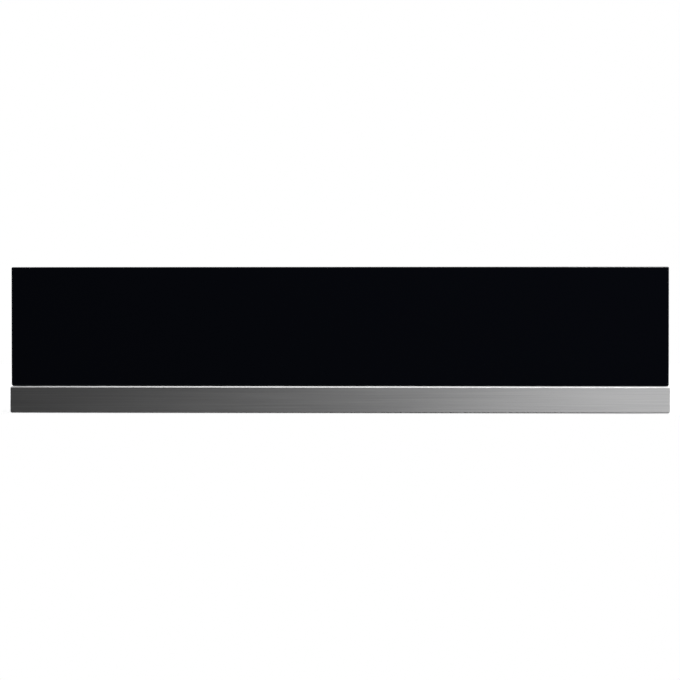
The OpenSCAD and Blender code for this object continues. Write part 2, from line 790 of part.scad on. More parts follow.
// Bush for the mains lead, snapped into the rear sheet.
module cable_gland() {
  flange_t = 3;
  flange_rim = 4;
  snap_rim = 1.25;
  spout_thin = 0.5;
  spout_len = rear_inset - flange_t - 1;
  collar_len = 4;
  color("#232427") difference() {
    union() {
      rod_y(gland_neck_d + 2 * flange_rim, gland_x, gland_z, y_rear, y_rear + flange_t);
      rod_y(gland_neck_d, gland_x, gland_z, y_rear - sheet_t - collar_len, y_rear + eps);
      rod_y(gland_neck_d + 2 * snap_rim, gland_x, gland_z, y_rear - sheet_t - collar_len, y_rear - sheet_t);
      rod_y(gland_neck_d - 2 * spout_thin, gland_x, gland_z, y_rear, y_rear + flange_t + spout_len);
    }
    rod_y(gland_bore_d, gland_x, gland_z, y_rear - sheet_t - collar_len - eps,
          y_rear + flange_t + spout_len + eps);
  }
}

// Cover sheet with downturned laps and two panels pressed downwards.
module top_cover() {
  color("#adb1b4") difference() {
    union() {
      block([-x_side, x_side], [y_shell, y_rear_edge], [z_cover, z_house_top]);
      both_sides() block([x_lap, x_side], [y_behind_lap, y_rear_edge], [z_cover - lap_w, z_house_top]);
      block([-x_front_lap, x_front_lap], [y_shell, y_behind_lap], [z_head + 2 * sheet_t, z_house_top]);
      translate([0, 0, z_cover - emboss]) linear_extrude(emboss + sheet_t) pressed_outlines(cover_panel, 0);
    }
    translate([0, 0, z_cover - emboss + sheet_t]) linear_extrude(emboss + sheet_t)
      pressed_outlines(cover_panel, sheet_t);
    at_shell_screws() rod_x(screw_d + 2 * screw_play, 0, 0, -x_house, x_house);
  }
}

// Frame round the mouth of the housing, with short lips above and below the drawer.
module front_frame() {
  lip_d = 8;
  lip_end = 2;
  corner = 2;
  mouth_r = 3;
  lip_x = x_inner_wall - lip_end;
  color("#86898c") {
    difference() {
      translate([-x_house, 0, z_base]) upright(y_house, y_shell) round_rect(housing_w, housing_h, corner);
      translate([-x_window, 0, z_sill]) upright(y_house - eps, y_shell + eps)
        round_rect(2 * x_window, z_head - z_sill, mouth_r);
    }
    block([-lip_x, lip_x], [y_house, y_house + lip_d], [z_sill - sheet_t, z_sill]);
    block([-lip_x, lip_x], [y_house, y_house + lip_d], [z_head, z_head + sheet_t]);
  }
}

// Sheet over the drawer, lying on the inner walls.
module inner_ceiling() {
  color("#b9bdc0")
    block([-x_side, x_side], [y_behind_lap, y_rear - lap_w - seat_gap], [z_ceiling, z_ceiling + sheet_t]);
}

// Glass wool blanket on the ceiling sheet.
module glass_wool() {
  margin = 2;
  color("#dccfa6")
    block([-x_lap + margin, x_lap - margin], [y_house + 10, y_baffle],
          [z_ceiling + sheet_t, z_cover - emboss - seat_gap]);
}

// Low headed screws of the shell, and the two long screws that hold the motor.
module housing_screws() {
  color("#c8cacc") {
    both_sides() at_shell_screws() {
      rod_x(screw_d, 0, 0, x_lap, x_house + eps);
      rod_x(screw_head_d, 0, 0, x_house, x_house + low_head_h);
    }
    at_motor_screws() {
      rod_y(screw_d, 0, 0, y_box_back - sheet_t, y_bracket_rear + eps);
      rod_y(screw_head_d, 0, 0, y_bracket_rear, y_bracket_rear + screw_head_h);
    }
  }
}

// ---- The warm air unit ----

bracket_t = 1.5;
bracket_gap = 4;                        // from the core to each bracket
motor_offset = 4;                       // from the air box to the front bracket
bush_len = 5;
bush_d = 10;
y_bracket_front = y_box_back + motor_offset;
y_core = y_bracket_front + bracket_t + bracket_gap;
y_core_back = y_core + core_t;
y_bracket_rear = y_core_back + bracket_gap + bracket_t;
motor_screw_x = 23;
fan_setback = 3.5;                      // from the baffle to the fan wheel
y_fan = y_baffle + sheet_t + fan_setback;
y_heater = y_fan + fan_w / 2;

module at_motor_screws() {
  for (x = [-motor_screw_x, motor_screw_x]) translate([x, 0, z_fan]) children();
}

// Round inlet grille: rings of arc slots, three to a ring.
module inlet_grille() {
  first_r = 9;
  ring_pitch = 6;
  slot_w = 3.2;
  rim = 4;
  turn = 40;
  rings = floor((fan_d / 2 - rim - first_r) / ring_pitch);
  for (ring = [0 : rings], i = [0 : 2]) {
    r = first_r + ring * ring_pitch;
    web = 8 * first_r / r;
    ring_part(r - slot_w / 2, r + slot_w / 2, i * 120 + web + ring * turn, (i + 1) * 120 - web + ring * turn);
  }
}

// Upright outlet slots at one side of the grille.
module outlet_grille() {
  count = 6;
  pitch = 9;
  slot_len = 64;
  slot_w = 4.5;
  start_x = heater_ring_r + 16;
  for (i = [0 : count - 1]) translate([start_x + i * pitch, 0]) rotate(90) round_slot(slot_len, slot_w);
}

buffer_inset = 25;                      // from the sides of the pan to the buffers
buffer_x = x_pan - buffer_inset;
buffer_z = latch_z;
buffer_d = 12;
buffer_stem_d = 5;
module at_buffers() {
  for (x = [-buffer_x, buffer_x]) translate([x, 0, buffer_z]) children();
}

loom_hole_x = (x_pocket + x_lap) / 2;
loom_rise = 26;                         // from the base sheet to the loom's hole
loom_z = z_base_top + loom_rise;
loom_hole_d = 14;

// Sheet between the drawer and the warm air unit.
module air_baffle() {
  color("#b4b8bb") difference() {
    block([-x_lap, x_lap], [y_baffle, y_baffle + sheet_t], [z_base_top, z_ceiling]);
    upright(y_baffle - eps, y_baffle + sheet_t + eps) translate([0, z_fan]) {
      inlet_grille();
      outlet_grille();
      mirror([1, 0]) outlet_grille();
    }
    at_buffers() rod_y(buffer_stem_d + 2 * screw_play, 0, 0, y_baffle - eps, y_baffle + sheet_t + eps);
    rod_y(plunger_d + 2 * seat_gap, latch_x, latch_z, y_baffle - eps, y_baffle + sheet_t + eps);
    rod_y(loom_hole_d, loom_hole_x, loom_z, y_baffle - eps, y_baffle + sheet_t + eps);
  }
}

// Rubber buffers for the pan's rear wall, pushed into the baffle.
module stop_buffers() {
  barb_rim = 1.5;
  barb_t = 2;
  color("#26272a") at_buffers() {
    rod_y(buffer_d, 0, 0, y_pan_back + push_travel + seat_gap, y_baffle);
    rod_y(buffer_stem_d, 0, 0, y_baffle - eps, y_baffle + sheet_t + eps);
    rod_y(buffer_stem_d + 2 * barb_rim, 0, 0, y_baffle + sheet_t, y_baffle + sheet_t + barb_t);
  }
}

// Sheet box behind the baffle, open to the front, with a flange all round.
leg_inset = 32;                         // from the side of the air box to the heater's legs
leg_x = air_box_w / 2 - leg_inset;
module air_box() {
  flange = 3;
  hatch_w = 18;
  hatch_h = 36;
  y = [y_baffle + sheet_t, y_box_back];
  half = air_box_w / 2;
  color("#aeb2b5") difference() {
    union() {
      block([-half, half], y, z_box);
      block([-half - 2 * flange, half + 2 * flange], [y[0], y[0] + sheet_t],
            [z_box[0] - flange, z_box[1] + flange]);
    }
    block([-half + sheet_t, half - sheet_t], [y[0] - eps, y[1] - sheet_t],
          [z_box[0] + sheet_t, z_box[1] - sheet_t]);
    rod_y(bush_d + 2, 0, z_fan, y[1] - 2 * sheet_t, y[1] + eps);
    at_motor_screws() rod_y(screw_d + 2 * shaft_play, 0, 0, y[1] - 2 * sheet_t, y[1] + eps);
    block([leg_x - hatch_w / 2, leg_x + hatch_w / 2], [y[1] - 2 * sheet_t, y[1] + eps],
          [z_fan - hatch_h / 2, z_fan + hatch_h / 2]);
  }
}

// A bend of a tube in the X-Y plane between two angles, with a lap into the stretches it joins.
module tube_bend(r, from, to, d, lap = 0) {
  lap_angle = asin(lap / r);
  rotate([0, 0, from - lap_angle]) rotate_extrude(angle = to - from + 2 * lap_angle)
    translate([r, 0]) circle(d = d);
}

// Tubular heater: a ring round the fan wheel whose two ends run to the right and then to the rear.
heater_gap_angle = 22;
heater_bend_r = 8;
leg_rise = (heater_ring_r + heater_bend_r) * sin(heater_gap_angle) - heater_bend_r;
module heating_element() {
  bend_at = heater_ring_r + heater_bend_r;
  bend_d = heater_d - 0.1;
  bend_lap = 0.5;
  pin_d = 3;
  pin_len = 8;
  tube_out = 10;
  tube_end = y_box_back + tube_out;
  color("#6e625c") {
    translate([0, y_heater, z_fan]) rotate([90, 0, 0])
      tube_bend(heater_ring_r, heater_gap_angle, 360 - heater_gap_angle, heater_d);
    for (side = [0, 1]) translate([0, 0, z_fan]) mirror([0, 0, side]) {
      translate([bend_at * cos(heater_gap_angle), y_heater, bend_at * sin(heater_gap_angle)]) rotate([90, 0, 0])
        tube_bend(heater_bend_r, 180 + heater_gap_angle, 270, bend_d, bend_lap);
      rod_x(heater_d, y_heater, leg_rise, bend_at * cos(heater_gap_angle), leg_x - heater_bend_r);
      translate([leg_x - heater_bend_r, y_heater + heater_bend_r, leg_rise])
        tube_bend(heater_bend_r, 270, 360, bend_d, bend_lap);
      rod_y(heater_d, leg_x, leg_rise, y_heater + heater_bend_r, tube_end);
      rod_y(pin_d, leg_x, leg_rise, tube_end - eps, tube_end + pin_len);
    }
  }
}

// Plate that holds the heater's legs in the rear of the air box.
module heater_flange() {
  w = 24;
  h = 44;
  y = [y_box_back, y_box_back + 2];
  color("#c0a35c") difference() {
    translate([leg_x - w / 2, 0, z_fan - h / 2]) upright(y[0], y[1]) round_rect(w, h, 3);
    for (side = [-1, 1])
      rod_y(heater_d + 2 * shaft_play, leg_x, z_fan + side * leg_rise, y[0] - eps, y[1] + eps);
  }
}

// Radial fan wheel: rear disc, hub, curved blades and a front ring.
module fan_wheel() {
  disc_t = 1.2;
  blade_t = 1;
  blade_r = 15;
  blade_len = 11;
  blade_inner = fan_d / 2 - blade_len;
  hub_d = 13;
  hub_len = fan_w - 2;
  front_rim = 8;
  color("#9fa4a8") translate([0, y_fan + fan_w, z_fan]) rotate([90, 0, 0]) difference() {
    union() {
      cylinder(d = fan_d, h = disc_t);
      cylinder(d = hub_d, h = hub_len);
      intersection() {
        for (i = [0 : fan_blades - 1]) rotate(i * 360 / fan_blades)
          translate([blade_inner, 0, disc_t - eps]) translate([0, -blade_r, 0])
            linear_extrude(fan_w - 2 * disc_t + 2 * eps) ring_part(blade_r - blade_t, blade_r, 35, 100);
        difference() {
          cylinder(d = fan_d, h = fan_w);
          translate([0, 0, -eps]) cylinder(r = blade_inner, h = fan_w + 2 * eps);
        }
      }
      translate([0, 0, fan_w - disc_t]) difference() {
        cylinder(d = fan_d, h = disc_t);
        translate([0, 0, -eps]) cylinder(r = fan_d / 2 - front_rim, h = disc_t + 2 * eps);
      }
    }
    translate([0, 0, -eps]) cylinder(d = shaft_d + 2 * shaft_play, h = fan_w + 2 * eps);
  }
}

// Stack of laminations: a frame round the rotor's bore with a bar below for the coil.
bar_h = 11;
window_h = 10;
pole_wall = 4;                          // least iron round the rotor
core_limb = 10;                         // width of the core's limbs beside the coil
bar_drop = rotor_d / 2 + rotor_play + pole_wall + window_h + bar_h;
module motor_core() {
  top = 21;
  side = core_w / 2;
  slit = 2;
  chamfer = 7;
  color("#5d6064") translate([0, 0, z_fan]) difference() {
    upright(y_core, y_core_back) difference() {
      area([-side, side], [-bar_drop, top]);
      circle(d = rotor_d + 2 * rotor_play);
      area([-side + core_limb, side - core_limb], [-bar_drop + bar_h, -bar_drop + bar_h + window_h]);
      area([-slit / 2, slit / 2], [-bar_drop + bar_h, 0]);
      for (corner = [-1, 1]) translate([corner * side, top]) rotate(45) square(chamfer, center = true);
    }
    for (x = [-motor_screw_x, motor_screw_x])
      rod_y(screw_d + 2 * screw_play, x, 0, y_core - eps, y_core_back + eps);
  }
}

// Wound bobbin round the lower bar of the core.
module motor_coil() {
  side = core_w / 2 - core_limb - seat_gap;
  flange_t = 1.5;
  wall = 4;
  step = 1;
  y = [y_core - wall, y_core_back + wall];
  z_bar = [z_fan - bar_drop, z_fan - bar_drop + bar_h];
  upper = window_h - 2 * seat_gap;
  color("#b5622d") difference() {
    union() {
      block([-side + flange_t, side - flange_t], [y[0] + step, y[1] - step],
            [z_bar[0] - wall + step, z_bar[1] + upper - step]);
      both_sides() block([side - flange_t, side], y, [z_bar[0] - wall, z_bar[1] + upper]);
    }
    block([-side - eps, side + eps], [y_core - seat_gap, y_core_back + seat_gap],
          [z_bar[0] - seat_gap, z_bar[1] + seat_gap]);
  }
}

// Rotor on its shaft, which also carries the fan wheel.
module motor_rotor() {
  color("#8b8f93") {
    rod_y(rotor_d, 0, z_fan, y_core, y_core_back);
    rod_y(shaft_d, 0, z_fan, y_fan + 1, y_bracket_rear + bush_len / 2);
  }
}

// A bearing bracket: a strip with round ends, a bush in its middle and spacers at its screws.
module motor_bracket(y0, spacer_from, spacer_to) {
  strip_w = 14;
  end = 6;
  tube_d = 7;
  color("#c9b26b") difference() {
    union() {
      translate([0, 0, z_fan]) upright(y0, y0 + bracket_t) round_slot(2 * (motor_screw_x + end), strip_w);
      rod_y(bush_d, 0, z_fan, y0 + bracket_t / 2 - bush_len / 2, y0 + bracket_t / 2 + bush_len / 2);
      at_motor_screws() rod_y(tube_d, 0, 0, spacer_from, spacer_to);
    }
    rod_y(shaft_d + 2 * shaft_play, 0, z_fan, y0 - bush_len, y0 + 2 * bush_len);
    at_motor_screws() rod_y(screw_d + 2 * screw_play, 0, 0, spacer_from - eps, spacer_to + bracket_t + eps);
    at_motor_screws() rod_y(screw_d + 2 * screw_play, 0, 0, y0 - eps, y0 + bracket_t + eps);
  }
}

module motor_bracket_front() {
  motor_bracket(y_bracket_front, y_box_back, y_core);
}

module motor_bracket_rear() {
  motor_bracket(y_bracket_rear - bracket_t, y_core_back, y_bracket_rear);
}

// A flat tab for a push-on connector, on a face that looks to the rear.
tab_w = 6;
tab_t = 0.8;
tab_len = 7;
module flat_tab(x, z, y0) {
  block([x - tab_t / 2, x + tab_t / 2], [y0 - eps, y0 + tab_len], [z - tab_w / 2, z + tab_w / 2]);
}

// Bimetal safety cut-out on the rear of the air box, with two ears and two tabs.
cutout_x = -64;
cutout_z = z_fan + 24;
module safety_cutout() {
  body_d = 16;
  body_h = 9;
  ear = 8;
  color("#3a3c40") {
    rod_y(body_d, cutout_x, cutout_z, y_box_back, y_box_back + body_h);
    translate([cutout_x, 0, cutout_z]) upright(y_box_back, y_box_back + 1) round_slot(body_d + 2 * ear, ear);
    for (side = [-1, 1]) flat_tab(cutout_x + side * 5, cutout_z, y_box_back + body_h);
  }
}

// Touch latch: a moulded case on the rear of the baffle, with a blind bore for its plunger.
latch_works = 34;                       // length of the latch beyond its travel
plunger_grip = 22;                      // length of the plunger beyond its travel
latch_len = plunger_travel + latch_works;
plunger_len = plunger_travel + plunger_grip;
y_plunger = y_pan_back + plate_t + push_travel + seat_gap;
module latch_body() {
  w = 22;
  h = 18;
  ear = 11;
  wall = 3;
  y0 = y_baffle + sheet_t;
  color("#d8d8d4") difference() {
    union() {
      translate([latch_x - w / 2, 0, latch_z - h / 2]) upright(y0, y0 + latch_len) round_rect(w, h, wall);
      translate([latch_x, 0, latch_z]) upright(y0, y0 + wall) round_slot(w + 2 * ear, h);
    }
    rod_y(plunger_d + 4 * shaft_play, latch_x, latch_z, y0 - eps, y0 + latch_len - wall);
  }
}

// Plunger with a round rubber tip.
module latch_plunger() {
  tip = 3;
  taper = 1;
  color("#77797c") {
    rod_y(plunger_d, latch_x, latch_z, y_plunger + tip, y_plunger + plunger_len);
    translate([latch_x, y_plunger + tip, latch_z]) rotate([90, 0, 0])
      cylinder(d1 = plunger_d, d2 = plunger_d - 2 * taper, h = tip);
  }
}

// Three pole terminal block on the base sheet, behind the air box.
terminal_gap = 3;                       // from the air box to the terminal block
terminal_d = 14;
y_terminal_back = y_box_back + terminal_gap + terminal_d;
module terminal_block() {
  poles = 3;
  pole_pitch = 12;
  h = 16;
  way_d = 4;
  dome_d = 8;
  dome_h = 3;
  screw_way_d = 5;
  y = [y_terminal_back - terminal_d, y_terminal_back];
  x0 = gland_x - poles * pole_pitch / 2;
  color("#e6e2d6") difference() {
    union() {
      block([x0, x0 + poles * pole_pitch], y, [z_base_top, z_base_top + h]);
      for (i = [0 : poles - 1])
        translate([x0 + (i + 0.5) * pole_pitch, (y[0] + y[1]) / 2, z_base_top + h - eps])
          cylinder(d = dome_d, h = dome_h);
    }
    for (i = [0 : poles - 1]) {
      x = x0 + (i + 0.5) * pole_pitch;
      rod_y(way_d, x, z_base_top + h / 2, y[0] - eps, y[1] + eps);
      translate([x, (y[0] + y[1]) / 2, z_base_top + h / 2]) cylinder(d = screw_way_d, h = h);
    }
  }
}

// ---- The controls, in the pocket between the drawer and the right side ----

y_panel = y_house + panel_recess;
panel_t = 2.5;
panel_wall = 2;
panel_d = 16;                           // depth of the panel's sides
panel_x = [x_pocket + seat_gap, x_lap - seat_gap];
panel_z = [z_base_top + sheet_t, z_ceiling - sheet_t];
panel_mid = (panel_x[0] + panel_x[1]) / 2;
bezel_t = 1.4;
bezel_rim = 3.3;                        // from the rocker to the outside of its bezel
knob_rise = 36;                         // from the panel's lower edge to the knob
rocker_drop = 17;                       // from the panel's upper edge to the rocker
knob_z = panel_z[0] + knob_rise;
rocker_z = panel_z[1] - rocker_drop;
lamp_z = (knob_z + knob_d / 2 + rocker_z - rocker_h / 2 - bezel_rim) / 2;
spindle_d = 6;

// Moulded panel: a plate with round corners and two side walls to the rear.
module pocket_panel() {
  w = panel_x[1] - panel_x[0];
  h = panel_z[1] - panel_z[0];
  difference() {
    translate([panel_x[0], 0, panel_z[0]]) upright(y_panel, y_panel + panel_d) round_rect(w, h, panel_wall);
    block([panel_x[0] + panel_wall, panel_x[1] - panel_wall], [y_panel + panel_t, y_panel + panel_d + eps],
          [panel_z[0] + panel_wall, panel_z[1] - panel_wall]);
  }
}

module control_panel() {
  switch_rim = 2;
  spindle_rim = 1;
  w = rocker_w + 2 * switch_rim;
  h = rocker_h + 2 * switch_rim;
  color("#1c1d20") difference() {
    pocket_panel();
    rod_y(spindle_d + 2 * spindle_rim, panel_mid, knob_z, y_panel - eps, y_panel + panel_t + eps);
    rod_y(lamp_d + 2 * seat_gap, panel_mid, lamp_z, y_panel - eps, y_panel + panel_t + eps);
    block([panel_mid - w / 2, panel_mid + w / 2], [y_panel - eps, y_panel + panel_t + eps],
          [rocker_z - h / 2, rocker_z + h / 2]);
  }
}

module blank_panel() {
  color("#1c1d20") mirror([1, 0, 0]) pocket_panel();
}

// Round knob with a fluted grip, a pointer ridge and its spindle.
module temperature_knob() {
  flutes = 18;
  flute_d = 2.2;
  skirt_h = 3;
  skirt_rim = 1.5;
  lift = 0.6;
  spindle_in = 12;
  pointer = [1.2, 4.5, 0.5];
  grip_d = knob_d - 2 * skirt_rim;
  color("#2a2b2e") translate([panel_mid, y_panel - lift, knob_z]) rotate([90, 0, 0]) {
    cylinder(d = knob_d, h = skirt_h);
    difference() {
      cylinder(d = grip_d, h = knob_h);
      for (i = [0 : flutes - 1]) rotate(i * 360 / flutes)
        translate([grip_d / 2 + 0.4, 0, skirt_h]) cylinder(d = flute_d, h = knob_h);
    }
    block([-pointer[0] / 2, pointer[0] / 2], [grip_d / 2 - skirt_rim - pointer[1], grip_d / 2 - skirt_rim],
          [knob_h - eps, knob_h + pointer[2]]);
    translate([0, 0, -lift - panel_t - spindle_in])
      cylinder(d = spindle_d, h = spindle_in + panel_t + lift + eps);
  }
}

// Thermostat behind the panel: a case with a bore for the spindle and two tabs.
module thermostat() {
  case_w = 24;
  case_h = 28;
  case_d = 20;
  bore_len = 14;
  y = [y_panel + panel_t, y_panel + panel_t + case_d];
  color("#c9c4b4") difference() {
    union() {
      block([panel_mid - case_w / 2, panel_mid + case_w / 2], y, [knob_z - case_h / 2, knob_z + case_h / 2]);
      for (side = [-1, 1]) flat_tab(panel_mid + side * 6, knob_z, y[1]);
    }
    rod_y(spindle_d + 2 * shaft_play, panel_mid, knob_z, y[0] - eps, y[0] + bore_len);
  }
}

// Rocker switch: a case with a bezel on the panel, and a rocker that turns on a pin across it.
rocker_tilt = 7;
rocker_r = 5.5;
rocker_pin_d = 2.5;
y_rocker_axis = y_panel + 1.5;
switch_depth = 17;
switch_tab = 7;
y_switch_tabs = y_panel + switch_depth + switch_tab;
module switch_body() {
  wall = 1.7;
  w = rocker_w + 2 * wall;
  h = rocker_h + 2 * wall;
  play = 0.5;
  tab_pitch = 7;
  color("#17181a") difference() {
    union() {
      translate([panel_mid - w / 2, 0, rocker_z - h / 2])
        upright(y_panel, y_panel + switch_depth) round_rect(w, h, 1);
      translate([panel_mid - rocker_w / 2 - bezel_rim, 0, rocker_z - rocker_h / 2 - bezel_rim])
        upright(y_panel - bezel_t, y_panel)
          round_rect(rocker_w + 2 * bezel_rim, rocker_h + 2 * bezel_rim, 1.6);
      for (i = [-1 : 1])
        block([panel_mid - 2.4, panel_mid + 2.4], [y_panel + switch_depth - eps, y_switch_tabs],
              [rocker_z + i * tab_pitch - 0.4, rocker_z + i * tab_pitch + 0.4]);
    }
    block([panel_mid - rocker_w / 2 - play, panel_mid + rocker_w / 2 + play],
          [y_panel - bezel_t - eps, y_panel + switch_depth - 5],
          [rocker_z - rocker_h / 2 - play, rocker_z + rocker_h / 2 + play]);
    rod_x(rocker_pin_d + 2 * shaft_play, y_rocker_axis, rocker_z,
          panel_mid - rocker_w / 2 - 1.5, panel_mid + rocker_w / 2 + 1.5);
  }
}

// Rocker at rest in its off position: its face is two slopes, and its back is round.
module switch_rocker() {
  face = 4.2;
  dip = 1;
  half = rocker_h / 2 - 0.4;
  color("#0f1012") translate([0, y_rocker_axis, rocker_z]) {
    rotate([-rocker_tilt, 0, 0]) crosswise(panel_mid - rocker_w / 2, panel_mid + rocker_w / 2) {
      polygon([[-face, -half], [-face + dip, 0], [-face, half], [-0.5, half], [1.5, rocker_r],
               [1.5, -rocker_r], [-0.5, -half]]);
      circle(r = rocker_r);
    }
    rod_x(rocker_pin_d, 0, 0, panel_mid - rocker_w / 2 - 1, panel_mid + rocker_w / 2 + 1);
  }
}

// Pilot lamp: a domed lens with a collar on the panel.
module pilot_lamp() {
  color("#e08a2c") {
    rod_y(lamp_d, panel_mid, lamp_z, y_panel - 1.2, y_panel + 12);
    rod_y(lamp_d + 3, panel_mid, lamp_z, y_panel - 1.2, y_panel);
    translate([panel_mid, y_panel - 1.2, lamp_z]) intersection() {
      sphere(d = lamp_d);
      block([-lamp_d, lamp_d], [-lamp_d, eps], [-lamp_d, lamp_d]);
    }
  }
}

// ---- The wiring ----

// Middle line of the loom: from the terminal block along the rear, through the baffle and forward
// in the right pocket, then up to the switch.
loom_d = 5;
loom_sides = 10;
loom_steps = 5;                         // rings from one point of the line to the next
loom_line = [
  [gland_x, y_terminal_back + seat_gap, z_base_top + 8],
  [gland_x + 12, y_rear - 7, z_base_top + 6],
  [gland_x + 40, y_rear - 8, z_base_top + 3.2],
  [60, y_rear - 8, z_base_top + 3.2],
  [loom_hole_x - 50, y_rear - 8, z_base_top + 4],
  [loom_hole_x - 12, y_baffle + 34, z_base_top + 12],
  [loom_hole_x, y_baffle + 14, loom_z],
  [loom_hole_x, y_baffle - 14, loom_z],
  [loom_hole_x, y_baffle - 50, z_base_top + 8],
  [loom_hole_x, y_baffle - 90, z_base_top + 4],
  [loom_hole_x, y_panel + 90, z_base_top + 4],
  [loom_hole_x, y_panel + 50, z_base_top + 8],
  [panel_mid, y_panel + 38, knob_z],
  [panel_mid, y_panel + 36, lamp_z],
  [panel_mid, y_switch_tabs + seat_gap, rocker_z]
];
loom_last = len(loom_line) - 1;

// A point of the smooth line through b and c, at the share t of the way between them.
function on_curve(a, b, c, d, t) =
  0.5 * (2 * b + (c - a) * t + (2 * a - 5 * b + 4 * c - d) * t * t + (3 * b - a - 3 * c + d) * t * t * t);
function loom_point(i, t) =
  on_curve(loom_line[max(i - 1, 0)], loom_line[i], loom_line[i + 1], loom_line[min(i + 2, loom_last)], t);
function unit(v) = v / norm(v);

// The middles of all rings, and the points of one ring square to the line.
loom_middles = [for (i = [0 : loom_last - 1], s = [0 : loom_steps - 1]) loom_point(i, s / loom_steps),
                loom_line[loom_last]];
ring_count = len(loom_middles);
function loom_ring(k) =
  let (ahead = unit(loom_middles[min(k + 1, ring_count - 1)] - loom_middles[max(k - 1, 0)]),
       across = unit(cross(ahead, [1, 1, 1])),
       up = cross(across, ahead))
  [for (s = [0 : loom_sides - 1]) let (a = s * 360 / loom_sides)
    loom_middles[k] + loom_d / 2 * (cos(a) * across + sin(a) * up)];

module wiring_loom() {
  points = [for (k = [0 : ring_count - 1]) each loom_ring(k)];
  sides = [for (k = [0 : ring_count - 2], s = [0 : loom_sides - 1]) let (n = (s + 1) % loom_sides)
    [k * loom_sides + s, k * loom_sides + n, (k + 1) * loom_sides + n, (k + 1) * loom_sides + s]];
  start_cap = [for (s = [loom_sides - 1 : -1 : 0]) s];
  end_cap = [for (s = [0 : loom_sides - 1]) (ring_count - 1) * loom_sides + s];
  color("#232427") polyhedron(points = points, faces = concat(sides, [start_cap], [end_cap]));
}

// ---- The pieces ----

glass_panel();
steel_strip();
front_carrier();
tape_pads();
front_insulation();
front_spacers();
inner_front_skin();
front_screws();
drawer_pan();
anti_slip_mat();
striker_plate();
on_side("left") inner_slide();  // inner_slide_left
on_side("right") inner_slide();  // inner_slide_right
slide_screws_drawer();
on_side("left") middle_slide();  // middle_slide_left
on_side("right") middle_slide();  // middle_slide_right
on_side("left") outer_cage();  // outer_cage_left
on_side("right") outer_cage();  // outer_cage_right
on_side("left") inner_cage();  // inner_cage_left
on_side("right") inner_cage();  // inner_cage_right
on_side("left") outer_slide();  // outer_slide_left
on_side("right") outer_slide();  // outer_slide_right
slide_screws_housing();
base_pan();
mirror([1, 0, 0]) side_wall();  // side_wall_left
side_wall();  // side_wall_right
mirror([1, 0, 0]) inner_wall();  // inner_wall_left
inner_wall();  // inner_wall_right
rear_wall();
top_cover();
front_frame();
inner_ceiling();
glass_wool();
feet();
housing_screws();
air_baffle();
air_box();
heating_element();
heater_flange();
fan_wheel();
motor_core();
motor_coil();
motor_rotor();
motor_bracket_front();
motor_bracket_rear();
safety_cutout();
stop_buffers();
latch_body();
latch_plunger();
cable_gland();
terminal_block();
control_panel();
blank_panel();
thermostat();
temperature_knob();
switch_body();
switch_rocker();
pilot_lamp();
wiring_loom();
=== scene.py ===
"""Built-in warming drawer: black glass over a brushed steel strip, with a drawer on ball bearing slides.

Lengths are in metres. X runs to the right, Y to the back and Z up; the front faces -Y.
"""
import json
import math

import bmesh
import bpy
from mathutils import Matrix, Vector

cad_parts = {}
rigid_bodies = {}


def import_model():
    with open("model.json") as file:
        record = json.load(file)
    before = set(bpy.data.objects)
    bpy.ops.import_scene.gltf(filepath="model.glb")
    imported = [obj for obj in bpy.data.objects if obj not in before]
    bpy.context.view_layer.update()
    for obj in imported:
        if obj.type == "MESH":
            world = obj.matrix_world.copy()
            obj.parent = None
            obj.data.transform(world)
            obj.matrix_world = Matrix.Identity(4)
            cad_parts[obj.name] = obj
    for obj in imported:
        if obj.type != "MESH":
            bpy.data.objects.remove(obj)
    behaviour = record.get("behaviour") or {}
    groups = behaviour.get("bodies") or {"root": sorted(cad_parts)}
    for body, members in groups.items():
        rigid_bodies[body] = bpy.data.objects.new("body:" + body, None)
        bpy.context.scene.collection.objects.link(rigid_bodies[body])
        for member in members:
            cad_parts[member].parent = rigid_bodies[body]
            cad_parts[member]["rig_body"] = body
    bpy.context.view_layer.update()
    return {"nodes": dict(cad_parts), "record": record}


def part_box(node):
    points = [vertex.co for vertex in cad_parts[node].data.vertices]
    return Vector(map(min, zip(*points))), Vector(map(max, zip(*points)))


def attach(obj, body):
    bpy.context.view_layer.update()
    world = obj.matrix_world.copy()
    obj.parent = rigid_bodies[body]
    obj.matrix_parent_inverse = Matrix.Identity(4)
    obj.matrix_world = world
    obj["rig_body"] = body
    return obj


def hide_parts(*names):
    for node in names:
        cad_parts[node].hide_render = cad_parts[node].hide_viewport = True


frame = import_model()
cad = frame["nodes"]

MM = 0.001
SLOTS = {part["node"]: part["material_slot"] for part in frame["record"]["subparts"]}

# ---- Places that several pieces share, read from the solids ----

STRIP_LOW, STRIP_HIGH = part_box("steel_strip")
GLASS_LOW, GLASS_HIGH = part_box("glass_panel")
MAT_LOW, MAT_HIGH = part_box("anti_slip_mat")
PANEL_LOW, PANEL_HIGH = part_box("control_panel")
KNOB_LOW, KNOB_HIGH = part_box("temperature_knob")
LAMP_LOW, LAMP_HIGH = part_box("pilot_lamp")
SWITCH_LOW, SWITCH_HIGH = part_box("switch_body")


# ---- Shader maths ----


